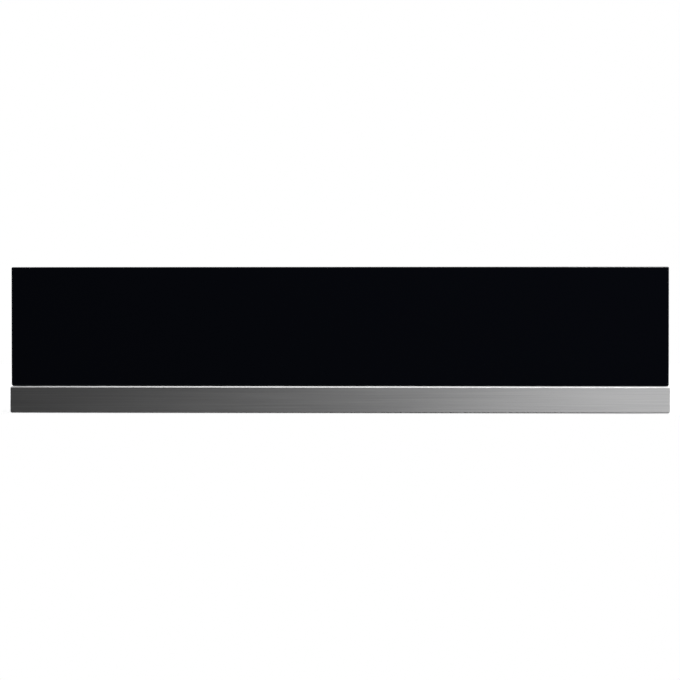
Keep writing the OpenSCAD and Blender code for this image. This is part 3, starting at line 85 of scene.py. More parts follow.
class Socket:
    """An output of a node. Arithmetic on it adds Math nodes to its material."""

    def __init__(self, paint, output):
        self.paint = paint
        self.output = output

    def _math(self, operation, *operands):
        return self.paint.node("ShaderNodeMath", {"operation": operation}, dict(enumerate(operands)))

    def __add__(self, other):
        return self._math("ADD", self, other)

    def __radd__(self, other):
        return self._math("ADD", other, self)

    def __sub__(self, other):
        return self._math("SUBTRACT", self, other)

    def __rsub__(self, other):
        return self._math("SUBTRACT", other, self)

    def __mul__(self, other):
        return self._math("MULTIPLY", self, other)

    def __truediv__(self, other):
        return self._math("DIVIDE", self, other)

    def __pow__(self, other):
        return self._math("POWER", self, other)

    def __abs__(self):
        return self._math("ABSOLUTE", self)

    def highest(self, other):
        return self._math("MAXIMUM", self, other)

    def lowest(self, other):
        return self._math("MINIMUM", self, other)

    def sine(self):
        return self._math("SINE", self)

    def between(self, low, high):
        """0 below low and 1 above high, with a smooth step between them."""
        inputs = {"Value": self, "From Min": low, "From Max": high}
        return self.paint.node("ShaderNodeMapRange", {"interpolation_type": "SMOOTHSTEP"}, inputs)


class Paint:
    """A material with one Principled shader, and the nodes that vary it over the surface."""

    def __init__(self, name, color, roughness, **constants):
        self.material = bpy.data.materials.new(name)
        self.material.use_nodes = True
        self.tree = self.material.node_tree
        self.shader = self.tree.nodes["Principled BSDF"]
        self.shader.inputs["Base Color"].default_value = (*color, 1)
        self.shader.inputs["Roughness"].default_value = roughness
        for socket, value in constants.items():
            self.shader.inputs[socket.replace("_", " ")].default_value = value
        self.place = self.node("ShaderNodeTexCoord", output="Object")
        self.x, self.y, self.z = (self.node("ShaderNodeSeparateXYZ", {}, {0: self.place}, axis) for axis in "XYZ")

    def node(self, kind, settings=None, inputs=None, output=0):
        """Adds a node: its settings first, then the values or links of its inputs."""
        made = self.tree.nodes.new(kind)
        for name, value in (settings or {}).items():
            if name == "stops":
                self._set_stops(made.color_ramp, value)
            else:
                setattr(made, name, value)
        for name, value in (inputs or {}).items():
            if isinstance(value, Socket):
                self.tree.links.new(value.output, made.inputs[name])
            else:
                made.inputs[name].default_value = value
        return Socket(self, made.outputs[output])

    @staticmethod
    def _set_stops(ramp, stops):
        for _ in stops[2:]:
            ramp.elements.new(0.5)
        for element, (position, color) in zip(ramp.elements, stops):
            element.position = position
            element.color = (*color, 1)

    def feed(self, socket, value):
        """Links a value that varies to one of the shader's sockets."""
        self.tree.links.new(value.output, self.shader.inputs[socket])

    def blend(self, share, low, high):
        """A colour between two colours, the high one where the share is 1."""
        inputs = {"Factor": share, 6: (*low, 1), 7: (*high, 1)}
        return self.node("ShaderNodeMix", {"data_type": "RGBA"}, inputs, 2)

    def stretched(self, x, y, z):
        """Object coordinates multiplied along each axis."""
        return self.node("ShaderNodeVectorMath", {"operation": "MULTIPLY"}, {0: self.place, 1: (x, y, z)})

    def noise(self, vector, scale, detail=2.0, roughness=0.5):
        """Soft noise from 0 to 1, with so many features to the metre."""
        inputs = {"Vector": vector, "Scale": scale, "Detail": detail, "Roughness": roughness}
        return self.node("ShaderNodeTexNoise", {}, inputs)

    def bump(self, height, depth):
        """Raises the surface by the height, from 0 to 1, times a depth in metres."""
        inputs = {"Height": height, "Distance": depth, "Strength": 1.0}
        self.feed("Normal", self.node("ShaderNodeBump", {}, inputs))

    def waves(self, axis, pitch):
        """Even waves from 0 to 1 along one axis, a pitch from crest to crest."""
        return ((axis / pitch) * (2 * math.pi)).sine() * 0.5 + 0.5


class Sky(Paint):
    """The nodes of the world, which see the direction of a ray in place of a point of a piece."""

    def __init__(self, tree):
        self.tree = tree
        direction = self.node("ShaderNodeTexCoord", output="Generated")
        self.x, self.y, self.z = (self.node("ShaderNodeSeparateXYZ", {}, {0: direction}, axis) for axis in "XYZ")


# ---- Finishes ----


def black_glass():
    """Glass painted black on its rear, polished, with a ground edge that is a little lighter."""
    black = (0.0033, 0.0040, 0.0066)
    paint = Paint("black_glass", black, 0.02, IOR=1.5)
    half_width = (GLASS_HIGH.x - GLASS_LOW.x) / 2
    to_side = half_width - abs(paint.x)
    to_edge = to_side.lowest(GLASS_HIGH.z - paint.z).lowest(paint.z - GLASS_LOW.z)
    ground = 1 - to_edge.between(0.3 * MM, GLASS_BEVEL)
    wiped = paint.noise(paint.stretched(3, 3, 9), 9, 5)
    paint.feed("Base Color", paint.blend(ground, black, (0.030, 0.036, 0.038)))
    paint.feed("Roughness", wiped.between(0.35, 0.75) * 0.012 + 0.014 + ground * 0.22)
    paint.bump(paint.noise(paint.place, 7, 1), 0.004 * MM)
    return paint.material


def front_strip_steel():
    """Stainless steel brushed along X, with fine lines. Its highlight spreads across them, up and down."""
    paint = Paint("front_strip_steel", (0.56, 0.56, 0.565), 0.48, Metallic=1.0,
                  Anisotropic=0.8, Anisotropic_Rotation=0.25)
    fine = paint.noise(paint.stretched(1.2, 40, 1), 2600, 2, 0.6)
    lines = paint.noise(paint.stretched(0.006, 1, 1), 1500, 3, 0.65)
    wide = paint.noise(paint.stretched(0.02, 1, 1), 300, 2)
    tone = lines * 0.6 + fine * 0.15 + wide * 0.25
    paint.feed("Base Color", paint.blend(tone.between(0.3, 0.7), (0.49, 0.49, 0.497), (0.62, 0.62, 0.622)))
    paint.feed("Roughness", 0.50 + tone.between(0.3, 0.7) * 0.06)
    paint.bump(lines * 0.8 + fine * 0.2, 0.002 * MM)
    return paint.material


def bright_cut():
    """The strip's two bevels, cut after the brushing: brighter and smoother than its face."""
    paint = Paint("bright_cut", (0.80, 0.80, 0.80), 0.34, Metallic=1.0)
    lines = paint.noise(paint.stretched(0.01, 1, 1), 2400, 2)
    paint.feed("Base Color", paint.blend(lines.between(0.3, 0.7), (0.77, 0.77, 0.775), (0.83, 0.83, 0.83)))
    paint.feed("Roughness", 0.31 + lines * 0.05)
    return paint.material


def brushed_sheet(name, color, along, roughness=0.34):
    """Fine brushed stainless sheet. The lines run along one axis."""
    paint = Paint(name, color, roughness, Metallic=1.0)
    stretch = [0.01 if axis == along else 1 for axis in "XYZ"]
    lines = paint.noise(paint.stretched(*stretch), 900, 3, 0.6)
    cloud = paint.noise(paint.place, 14, 3)
    dull, bright = ([c * share for c in color] for share in (0.9, 1.1))
    paint.feed("Base Color", paint.blend(lines.between(0.3, 0.7), dull, bright))
    paint.feed("Roughness", roughness - 0.05 + lines * 0.06 + cloud * 0.05)
    paint.bump(lines, 0.008 * MM)
    return paint.material


def galvanised_sheet():
    """Hot dip galvanised steel: flat crystals that differ in grey and in gloss."""
    paint = Paint("galvanised_sheet", (0.55, 0.57, 0.58), 0.42, Metallic=0.9)
    wander = paint.node("ShaderNodeVectorMath", {"operation": "MULTIPLY_ADD"},
                        {0: paint.noise(paint.place, 130, 2), 1: (0.004, 0.004, 0.004), 2: paint.place})
    crystal = paint.node("ShaderNodeTexVoronoi", {"feature": "F1"}, {"Vector": wander, "Scale": 120.0}, "Color")
    grey = paint.node("ShaderNodeSeparateColor", {}, {0: crystal}, 0)
    sheen = paint.node("ShaderNodeSeparateColor", {}, {0: crystal}, 1)
    cloud = paint.noise(paint.place, 9, 4)
    tone = grey * 0.5 + cloud * 0.5
    paint.feed("Base Color", paint.blend(tone, (0.43, 0.445, 0.46), (0.57, 0.585, 0.59)))
    paint.feed("Roughness", 0.44 + sheen * 0.10 + cloud * 0.08)
    paint.bump(paint.noise(paint.place, 420, 2), 0.01 * MM)
    return paint.material


def aluminised_sheet():
    """Aluminised steel of the inner sheets: dull, with a fine even grain and soft clouds."""
    paint = Paint("aluminised_sheet", (0.60, 0.61, 0.61), 0.4, Metallic=0.95)
    grain = paint.noise(paint.place, 2200, 2)
    cloud = paint.noise(paint.stretched(1, 0.25, 1), 16, 4)
    paint.feed("Base Color", paint.blend(grain * 0.3 + cloud * 0.7, (0.52, 0.53, 0.535), (0.67, 0.675, 0.67)))
    paint.feed("Roughness", 0.33 + cloud * 0.16)
    paint.bump(grain, 0.006 * MM)
    return paint.material


def zinc_plate(name="zinc_plate", color=(0.62, 0.63, 0.64), roughness=0.26):
    """Bright zinc plate on rolled or turned steel."""
    paint = Paint(name, color, roughness, Metallic=1.0)
    drawn = paint.noise(paint.stretched(1, 0.02, 1), 700, 3)
    patch = paint.noise(paint.place, 45, 4)
    dull, bright = ([c * share for c in color] for share in (0.86, 1.1))
    paint.feed("Base Color", paint.blend(patch * 0.6 + drawn * 0.4, dull, bright))
    paint.feed("Roughness", roughness - 0.05 + drawn * 0.07 + patch * 0.06)
    paint.bump(drawn, 0.004 * MM)
    return paint.material


def polished_balls():
    """Hard polished balls and their plated cage."""
    paint = Paint("polished_balls", (0.72, 0.70, 0.63), 0.14, Metallic=1.0)
    patch = paint.noise(paint.place, 160, 3)
    paint.feed("Base Color", paint.blend(patch, (0.62, 0.59, 0.50), (0.80, 0.79, 0.75)))
    paint.feed("Roughness", 0.10 + patch * 0.12)
    return paint.material


def moulded_plastic(name, color, roughness, grain_depth=0.02 * MM, grain_scale=1600):
    """Moulded plastic with an even fine grain and slight changes of gloss."""
    paint = Paint(name, color, roughness)
    texture = paint.noise(paint.place, grain_scale, 2)
    cloud = paint.noise(paint.place, 35, 3)
    paint.feed("Base Color", paint.blend(cloud, [c * 0.85 for c in color], [c * 1.15 for c in color]))
    paint.feed("Roughness", roughness - 0.05 + cloud * 0.06 + texture * 0.05)
    paint.bump(texture, grain_depth)
    return paint.material


def rubber(name, color=(0.018, 0.018, 0.019), roughness=0.62):
    """Black rubber with a dusty bloom in places."""
    paint = Paint(name, color, roughness, Specular_IOR_Level=0.35)
    bloom = paint.noise(paint.place, 55, 5, 0.65)
    texture = paint.noise(paint.place, 1900, 2)
    paint.feed("Base Color", paint.blend(bloom.between(0.35, 0.8), color, [c * 1.9 + 0.004 for c in color]))
    paint.feed("Roughness", roughness + bloom * 0.16)
    paint.bump(texture, 0.03 * MM)
    return paint.material


def mat_rubber():
    """The anti-slip mat: black rubber with fine ribs that run from front to back, and painted shade in the grooves
    between them.
    """
    paint = Paint("mat_rubber", (0.022, 0.022, 0.024), 0.55, Specular_IOR_Level=0.4)
    rib = paint.waves(paint.x, 2.5 * MM)
    bloom = paint.noise(paint.place, 30, 5)
    texture = paint.noise(paint.place, 1500, 2)
    # Colour darker in the grooves between the ribs and lighter on their crests is painted shade; the bloom mixed in
    # is the rubber's own.
    paint.feed("Base Color", paint.blend(rib * 0.5 + bloom * 0.5, (0.013, 0.013, 0.014), (0.034, 0.034, 0.037)))
    paint.feed("Roughness", 0.5 + bloom * 0.2)
    paint.bump(rib.between(0.2, 0.9) * 0.85 + texture * 0.15, 0.25 * MM)
    return paint.material


def glass_wool_felt(name):
    """Yellow glass wool: matted fibres in clumps."""
    paint = Paint(name, (0.78, 0.68, 0.42), 0.95, Specular_IOR_Level=0.1)
    fibres = paint.noise(paint.stretched(1, 1, 3), 420, 6, 0.75)
    clumps = paint.noise(paint.place, 40, 4)
    paint.feed("Base Color", paint.blend(fibres * 0.6 + clumps * 0.4, (0.56, 0.46, 0.24), (0.88, 0.80, 0.56)))
    paint.feed("Roughness", 0.85 + fibres * 0.15)
    paint.bump(fibres * 0.5 + clumps * 0.5, 1.2 * MM)
    return paint.material


def copper_winding():
    """Enamelled copper wire, layer beside layer round the bar of the core, with painted shade between the turns."""
    paint = Paint("copper_winding", (0.55, 0.20, 0.08), 0.3, Metallic=0.85)
    turn = paint.waves(paint.x, 0.6 * MM)
    patch = paint.noise(paint.place, 90, 3)
    # Colour darker between the turns of wire and lighter on them is painted shade; the patches are the copper's own.
    paint.feed("Base Color", paint.blend(turn * 0.6 + patch * 0.4, (0.30, 0.09, 0.035), (0.66, 0.27, 0.11)))
    paint.feed("Roughness", 0.24 + patch * 0.14)
    paint.bump(turn, 0.2 * MM)
    return paint.material


def laminations():
    """The edges of stacked steel sheets, half a millimetre each, with a thin dark varnish."""
    paint = Paint("laminations", (0.16, 0.16, 0.17), 0.45, Metallic=0.7)
    sheet = paint.waves(paint.y, 0.5 * MM)
    stain = paint.noise(paint.place, 60, 4)
    paint.feed("Base Color", paint.blend(sheet * 0.5 + stain * 0.5, (0.07, 0.07, 0.08), (0.24, 0.235, 0.24)))
    paint.feed("Roughness", 0.36 + stain * 0.2)
    paint.bump(sheet, 0.08 * MM)
    return paint.material


def heat_tinted_steel():
    """The heater's sheath: steel turned brown and blue by its own heat."""
    paint = Paint("heat_tinted_steel", (0.25, 0.20, 0.17), 0.4, Metallic=0.9)
    tint = paint.noise(paint.place, 28, 4)
    stops = [(0.30, (0.32, 0.27, 0.23)), (0.50, (0.20, 0.14, 0.10)), (0.70, (0.13, 0.13, 0.17))]
    paint.feed("Base Color", paint.node("ShaderNodeValToRGB", {"stops": stops}, {0: tint}))
    paint.feed("Roughness", 0.32 + tint * 0.2)
    paint.bump(paint.noise(paint.place, 900, 2), 0.01 * MM)
    return paint.material


def amber_lens():
    """The pilot lamp's lens: clear amber with fine rings inside."""
    paint = Paint("amber_lens", (0.85, 0.30, 0.02), 0.12, IOR=1.49, Coat_Weight=0.6, Coat_Roughness=0.04)
    across = paint.x - (LAMP_LOW.x + LAMP_HIGH.x) / 2
    up = paint.z - (LAMP_LOW.z + LAMP_HIGH.z) / 2
    radius = (across * across + up * up) ** 0.5
    ring = paint.waves(radius, 0.7 * MM)
    paint.feed("Base Color", paint.blend(ring, (0.62, 0.16, 0.01), (0.95, 0.42, 0.05)))
    paint.feed("Roughness", 0.10 + ring * 0.08)
    paint.bump(ring, 0.08 * MM)
    return paint.material


def white_print():
    """Printed marks of the controls: matt off-white ink, a little uneven."""
    paint = Paint("white_print", (0.72, 0.72, 0.70), 0.5)
    paint.feed("Base Color", paint.blend(paint.noise(paint.place, 900, 3), (0.62, 0.62, 0.60), (0.80, 0.80, 0.78)))
    return paint.material


def dark_coat():
    """Dark grey coat of the front's carrier, with a light orange peel."""
    return moulded_plastic("dark_coat", (0.075, 0.077, 0.082), 0.45, 0.03 * MM, 700)


# ---- Ways to model a piece ----


def add(name, operator, **settings):
    """Adds a primitive with nothing else selected, and puts its place into its mesh."""
    bpy.ops.object.select_all(action="DESELECT")
    operator(**settings)
    piece = bpy.context.object
    piece.name = piece.data.name = name
    bpy.ops.object.transform_apply(location=True, rotation=True, scale=True)
    return piece


def add_block(name, low, high):
    """A block between two corners, to be shaped further."""
    low, high = Vector(low), Vector(high)
    return add(name, bpy.ops.mesh.primitive_cube_add, size=1, location=(low + high) / 2, scale=high - low)


class Shaping:
    """Edit mode on one piece, with nothing selected at the start."""

    def __init__(self, piece, select="FACE"):
        self.piece = piece
        self.select = select

    def __enter__(self):
        pick_only(self.piece)
        bpy.ops.object.mode_set(mode="EDIT")
        bpy.ops.mesh.select_mode(type=self.select)
        bpy.ops.mesh.select_all(action="DESELECT")
        return self

    def __exit__(self, *error):
        bpy.ops.object.mode_set(mode="OBJECT")

    def pick_faces(self, wanted):
        """Selects the faces for which wanted(middle, normal) holds, and only those."""
        mesh = bmesh.from_edit_mesh(self.piece.data)
        for face in mesh.faces:
            face.select_set(bool(wanted(face.calc_center_median(), face.normal)))
        self._finish(mesh)

    def pick_edges(self, wanted):
        """Selects the edges for which wanted(one end, other end) holds, and only those."""
        mesh = bmesh.from_edit_mesh(self.piece.data)
        for edge in mesh.edges:
            edge.select_set(bool(wanted(edge.verts[0].co, edge.verts[1].co)))
        self._finish(mesh)

    def _finish(self, mesh):
        mesh.select_flush_mode()
        bmesh.update_edit_mesh(self.piece.data)


SAME = 0.01 * MM       # corners closer than this along an axis count as level


def along(axis):
    """Edges that run along one axis."""
    others = [i for i in range(3) if i != axis]
    return lambda a, b: all(abs(a[i] - b[i]) < SAME for i in others) and abs(a[axis] - b[axis]) > SAME


def at_level(axis, level):
    """Edges that lie in one level across an axis."""
    return lambda a, b: abs(a[axis] - level) < SAME and abs(b[axis] - level) < SAME


def pick_only(piece):
    """Selects one piece and nothing else."""
    bpy.ops.object.select_all(action="DESELECT")
    bpy.context.view_layer.objects.active = piece
    piece.select_set(True)


def apply_modifier(piece, kind, **settings):
    """Adds a modifier with its settings and makes its result the piece's own mesh."""
    pick_only(piece)
    modifier = piece.modifiers.new(kind.title(), kind)
    for name, value in settings.items():
        setattr(modifier, name, value)
    bpy.ops.object.modifier_apply(modifier=modifier.name)


def smooth(piece, angle=35):
    """Smooth shading, with flat faces kept flat and sharp folds kept sharp."""
    pick_only(piece)
    bpy.ops.object.shade_smooth_by_angle(angle=math.radians(angle))
    apply_modifier(piece, "WEIGHTED_NORMAL", mode="FACE_AREA", weight=90, keep_sharp=True)


def soften(piece, width, segments=2, angle=30):
    """Rounds every edge sharper than the angle."""
    apply_modifier(piece, "BEVEL", width=width, segments=segments, limit_method="ANGLE",
                   angle_limit=math.radians(angle), use_clamp_overlap=True)


def facing(place, axis, turn=0.0):
    """A place and a way to face: what points along +Z at the origin goes there, after a turn round Z."""
    lean = Vector((0, 0, 1)).rotation_difference(Vector(axis)).to_matrix().to_4x4()
    return Matrix.Translation(place) @ lean @ Matrix.Rotation(turn, 4, "Z")


def turned(name, profile, middle, axis, steps=48):
    """A turned piece: a profile of (radius, height) points, spun round an axis through its middle."""
    piece = add(name, bpy.ops.mesh.primitive_circle_add, vertices=max(len(profile), 3), radius=1)
    mesh = bmesh.new()
    corners = [mesh.verts.new((radius, 0, height)) for radius, height in profile]
    for start, end in zip(corners, corners[1:]):
        mesh.edges.new((start, end))
    mesh.to_mesh(piece.data)
    mesh.free()
    with Shaping(piece, "EDGE"):
        bpy.ops.mesh.select_all(action="SELECT")
        bpy.ops.mesh.spin(steps=steps, angle=2 * math.pi, center=(0, 0, 0), axis=(0, 0, 1))
        bpy.ops.mesh.select_all(action="SELECT")
        bpy.ops.mesh.remove_doubles(threshold=1e-6)
        bpy.ops.mesh.normals_make_consistent(inside=False)
    piece.data.transform(facing(middle, axis))
    return piece


def joined(name, pieces):
    """Several meshes as one piece."""
    bpy.ops.object.select_all(action="DESELECT")
    for piece in pieces:
        piece.select_set(True)
    bpy.context.view_layer.objects.active = pieces[0]
    bpy.ops.object.join()
    pieces[0].name = pieces[0].data.name = name
    return pieces[0]


def placed_copy(pattern, matrix):
    """A copy with its own mesh, moved by a matrix."""
    copy = pattern.copy()
    copy.data = pattern.data.copy()
    copy.data.transform(matrix)
    bpy.context.scene.collection.objects.link(copy)
    return copy


def give(piece, material, body, slot, *nodes):
    """Gives a finished piece its body and its material, and hides the solids that it replaces.

    Without a material the piece keeps those that it has. The slot is not used.
    """
    if material:
        piece.data.materials.clear()
        piece.data.materials.append(material)
    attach(piece, body)
    if nodes:
        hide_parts(*nodes)
    return piece


def merged_copy(node, name):
    """A copy of a solid with its loose triangles merged into clean faces."""
    piece = placed_copy(cad[node], Matrix.Identity(4))
    piece.parent = None
    for key in list(piece.keys()):
        del piece[key]
    piece.name = piece.data.name = name
    with Shaping(piece):
        bpy.ops.mesh.select_all(action="SELECT")
        bpy.ops.mesh.remove_doubles(threshold=2e-6)
        bpy.ops.mesh.dissolve_limited(angle_limit=math.radians(0.4))
    return piece


def pressed(node, material, edge=0.25 * MM, segments=2, angle=35):
    """A sheet, moulding or turned piece of the frame with its sharp edges rounded."""
    piece = merged_copy(node, node + "_finished")
    if edge:
        soften(piece, edge, segments)
    smooth(piece, angle)
    return give(piece, material, cad[node]["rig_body"], SLOTS[node], node)


def paint_solid(node, material):
    """Keeps a solid as it is and gives it its material."""
    solid = cad[node]
    solid.data.materials.clear()
    solid.data.materials.append(material)


# ---- The front ----

GLASS_CORNER = 1.3 * MM
GLASS_BEVEL = 0.8 * MM
GLASS_REAR_BEVEL = 0.3 * MM
STRIP_CORNER = 1.8 * MM
STRIP_BEVEL = 1.1 * MM
STRIP_FOOT_BEVEL = 0.7 * MM
STRIP_WALL = 1.5 * MM
STRIP_EDGE = 0.12 * MM      # round left on every sharp edge of the strip
LIP_RISE = 2.4 * MM         # above the strip's upper edge
LIP_THICK = 0.7 * MM
LIP_GAP = 0.15 * MM         # from the lip to the carrier behind it
LIP_INSET = 0.5 * MM        # from the ends of the glass


def glass_front(material):
    """The glass panel: round corners and a ground bevel round its face."""
    low, high = GLASS_LOW, GLASS_HIGH
    panel = add_block("glass_front", low, high)
    with Shaping(panel, "EDGE") as shape:
        shape.pick_edges(along(1))
        bpy.ops.mesh.bevel(offset=GLASS_CORNER, segments=6, affect="EDGES")
        shape.pick_edges(at_level(1, low.y))
        bpy.ops.mesh.bevel(offset=GLASS_BEVEL, segments=2, affect="EDGES")
        shape.pick_edges(at_level(1, high.y))
        bpy.ops.mesh.bevel(offset=GLASS_REAR_BEVEL, segments=1, affect="EDGES")
    smooth(panel, 25)
    return give(panel, material, "drawer", SLOTS["glass_panel"], "glass_panel")


def steel_strip_front(material, cut_material):
    """The strip: a shallow pressing with round ends, two bevels and a lip that closes the seam from behind."""
    low, high = STRIP_LOW, STRIP_HIGH
    strip = add_block("steel_strip_front", low, high)
    with Shaping(strip, "EDGE") as shape:
        shape.pick_edges(along(1))
        bpy.ops.mesh.bevel(offset=STRIP_CORNER, segments=8, affect="EDGES")
        for level, bevel, up in ((high.z, STRIP_BEVEL, 1), (low.z, STRIP_FOOT_BEVEL, -1)):
            bpy.ops.mesh.select_all(action="SELECT")
            bpy.ops.mesh.bisect(plane_co=(0, low.y + bevel, level), plane_no=(0, -1, up), use_fill=True,
                                clear_outer=True)
        shape.pick_faces(lambda middle, normal: normal.y > 0.99)
        bpy.ops.mesh.inset(thickness=STRIP_WALL, depth=0)
        bpy.ops.mesh.inset(thickness=0, depth=low.y + STRIP_WALL - high.y)
        bpy.ops.mesh.select_all(action="SELECT")
        bpy.ops.mesh.normals_make_consistent(inside=False)
    lip_end = GLASS_HIGH.x - LIP_INSET
    lip = add_block("lip", (-lip_end, high.y - LIP_GAP - LIP_THICK, high.z - 0.5 * STRIP_WALL),
                    (lip_end, high.y - LIP_GAP, high.z + LIP_RISE))
    strip.data.materials.append(material)
    strip.data.materials.append(cut_material)
    for face in strip.data.polygons:
        leans_half_way = face.normal.y < -0.6 and abs(face.normal.z) > 0.6
        face.material_index = int(leans_half_way)
    soften(strip, STRIP_EDGE, 2, 20)
    strip = joined("steel_strip_front", [strip, lip])
    smooth(strip, 20)
    return give(strip, None, "drawer", SLOTS["steel_strip"], "steel_strip")


# ---- The drawer ----


def pan(material):
    """The drawer pan, with the round fold that a press leaves between its floor and its walls."""
    piece = merged_copy("drawer_pan", "drawer_pan_pressed")
    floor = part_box("drawer_pan")[0].z
    sheet, inner_fold, outer_fold = 1 * MM, 2.2 * MM, 2.6 * MM
    with Shaping(piece, "EDGE") as shape:
        for level, fold in ((floor + sheet, inner_fold), (floor, outer_fold)):
            shape.pick_edges(at_level(2, level))
            bpy.ops.mesh.bevel(offset=fold, segments=4, affect="EDGES")
    soften(piece, 0.22 * MM)
    smooth(piece)
    return give(piece, material, "drawer", SLOTS["drawer_pan"], "drawer_pan")


HEAD_RADIUS = 3.5 * MM
HEAD_HEIGHT = 1.8 * MM
LOW_HEAD_HEIGHT = 1.2 * MM          # of the screws outside on the housing
SHANK_RADIUS = 1.75 * MM


def screw_head(height):
    """A round head with a cross recess, its seat at the origin and its face towards +Z."""
    radius = HEAD_RADIUS
    rim = [(0, 0), (radius, 0), (radius, height * 0.35), (radius * 0.93, height * 0.68),
           (radius * 0.70, height * 0.92), (radius * 0.35, height), (0, height)]
    head = turned("head", rim, (0, 0, 0), (0, 0, 1), 32)
    arm, deep = radius * 0.52, height * 0.62
    bars = [add_block("recess", (-x, -y, height - deep), (x, y, height + deep))
            for x, y in ((arm, arm * 0.26), (arm * 0.26, arm))]
    for bar, taper in zip(bars, ((0.55, 0.7, 1), (0.7, 0.55, 1))):
        with Shaping(bar) as shape:
            shape.pick_faces(lambda middle, normal: normal.z < -0.9)
            bpy.ops.transform.resize(value=taper)
    for bar in bars:
        apply_modifier(head, "BOOLEAN", operation="DIFFERENCE", object=bar, solver="EXACT")
        bpy.data.objects.remove(bar)
    smooth(head, 30)
    return head


def screws_on(name, places, height, length):
    """One head and its shank, copied to each place, as a single piece."""
    head = screw_head(height)
    tip = 1 * MM
    shank = turned("shank", [(0, 0), (SHANK_RADIUS, 0), (SHANK_RADIUS, tip - length), (SHANK_RADIUS * 0.6, -length),
                             (0, -length)], (0, 0, 0), (0, 0, 1), 20)
    smooth(shank, 40)
    pattern = joined("screw", [head, shank])
    copies = [placed_copy(pattern, place) for place in places]
    bpy.data.objects.remove(pattern)
    return joined(name, copies)


def node_solids(node):
    """The lowest and highest corner of each separate solid of a node."""
    mesh = bmesh.new()
    mesh.from_mesh(cad[node].data)
    bmesh.ops.remove_doubles(mesh, verts=mesh.verts, dist=2e-6)
    boxes, seen = [], set()
    for start in mesh.verts:
        if start.index in seen:
            continue
        group, queue = [], [start]
        seen.add(start.index)
        while queue:
            vertex = queue.pop()
            group.append(vertex.co)
            for edge in vertex.link_edges:
                other = edge.other_vert(vertex)
                if other.index not in seen:
                    seen.add(other.index)
                    queue.append(other)
        boxes.append((Vector(min(c[i] for c in group) for i in range(3)),
                      Vector(max(c[i] for c in group) for i in range(3))))
    mesh.free()
    return boxes


def middle_of(low, high):
    """The middle of a box."""
    return (low + high) / 2


def crosswise_places(node, height, inward):
    """The places of a node's short screws along X. Their heads face the middle, or away from it."""
    longest, widest = 9 * MM, 2.2 * HEAD_RADIUS
    places = []
    for number, (low, high) in enumerate(node_solids(node)):
        if high.x - low.x > longest or high.y - low.y > widest:
            continue
        side = 1 if low.x > 0 else -1
        out = -side if inward else side
        seat = middle_of(low, high)
        seat.x = (high.x if out > 0 else low.x) - out * height
        places.append(facing(seat, (out, 0, 0), number * 0.7))
    return places


def rearward_place(low, high, turn):
    """The place of a screw along Y whose head is at its rear end."""
    seat = middle_of(low, high)
    seat.y = high.y - HEAD_HEIGHT
    return facing(seat, (0, 1, 0), turn)


def pan_screws(material):
    """Screws through the pan into the slides, and through its front wall into the front."""
    places = crosswise_places("slide_screws_drawer", HEAD_HEIGHT, inward=True)
    give(screws_on("pan_side_screws", places, HEAD_HEIGHT, 3 * MM), material, "drawer",
         SLOTS["slide_screws_drawer"], "slide_screws_drawer")
    places = [rearward_place(low, high, number * 0.9)
              for number, (low, high) in enumerate(node_solids("front_screws"))]
    give(screws_on("front_wall_screws", places, HEAD_HEIGHT, 12 * MM), material, "drawer",
         SLOTS["front_screws"], "front_screws")


def ribbed_mat(material):
    """The rubber mat: a thin sheet with a raised border, round corners and long ribs."""
    low, high = MAT_LOW, MAT_HIGH
    sheet, corner, raised_rim = 1 * MM, 10 * MM, 2.5 * MM
    rib_pitch, rib_width, border = 10 * MM, 3 * MM, 14 * MM
    mat = add_block("ribbed_mat", low, (high.x, high.y, low.z + sheet))
    with Shaping(mat, "EDGE") as shape:
        shape.pick_edges(along(2))
        bpy.ops.mesh.bevel(offset=corner, segments=8, affect="EDGES")
        shape.pick_faces(lambda middle, normal: normal.z > 0.99)
        bpy.ops.mesh.inset(thickness=raised_rim, depth=0)
        bpy.ops.mesh.inset(thickness=0.3 * MM, depth=-0.3 * MM)
    smooth(mat, 30)
    rib = add_block("rib", (-rib_width / 2, low.y + border, low.z + sheet / 2),
                    (rib_width / 2, high.y - border, high.z))
    with Shaping(rib, "EDGE") as shape:
        shape.pick_edges(at_level(2, high.z))
        bpy.ops.mesh.bevel(offset=0.35 * MM, segments=3, affect="EDGES")
    smooth(rib, 50)
    count = int((high.x - border) / rib_pitch)
    ribs = [placed_copy(rib, Matrix.Translation((i * rib_pitch, 0, 0))) for i in range(-count, count + 1)]
    bpy.data.objects.remove(rib)
    mat = joined("ribbed_mat", [mat] + ribs)
    return give(mat, material, "drawer", SLOTS["anti_slip_mat"], "anti_slip_mat")


# ---- The housing ----


def housing_screws(material):
    """Low headed screws along both sides of the shell, and the two long ones of the motor."""
    places = crosswise_places("housing_screws", LOW_HEAD_HEIGHT, inward=False)
    give(screws_on("shell_screws", places, LOW_HEAD_HEIGHT, 3 * MM), material, "housing",
         SLOTS["housing_screws"], "housing_screws")
    places = [rearward_place(low, high, 0.5)
              for low, high in node_solids("housing_screws") if high.y - low.y > 10 * MM]
    give(screws_on("motor_screws", places, HEAD_HEIGHT, 24 * MM), material, "housing", SLOTS["housing_screws"])


def rubber_feet(material):
    """Round feet with a chamfered tread and two grooves underneath."""
    feet = []
    for low, high in node_solids("feet"):
        middle = middle_of(low, high)
        middle.z = 0
        radius, tread = (high.x - low.x) / 2, 2 * MM
        profile = [(0, 0.5 * MM), (radius * 0.40, 0.5 * MM), (radius * 0.44, 0), (radius * 0.58, 0),
                   (radius * 0.62, 0.5 * MM), (radius * 0.72, 0.5 * MM), (radius * 0.76, 0), (radius * 0.93, 0),
                   (radius, 0.7 * MM), (radius, tread), (3 * MM, tread), (3 * MM, 3 * MM), (4.4 * MM, 3 * MM),
                   (2.6 * MM, high.z), (0, high.z)]
        foot = turned("foot", profile, middle, (0, 0, 1), 40)
        smooth(foot, 30)
        feet.append(foot)
    return give(joined("rubber_feet", feet), material, "housing", SLOTS["feet"], "feet")


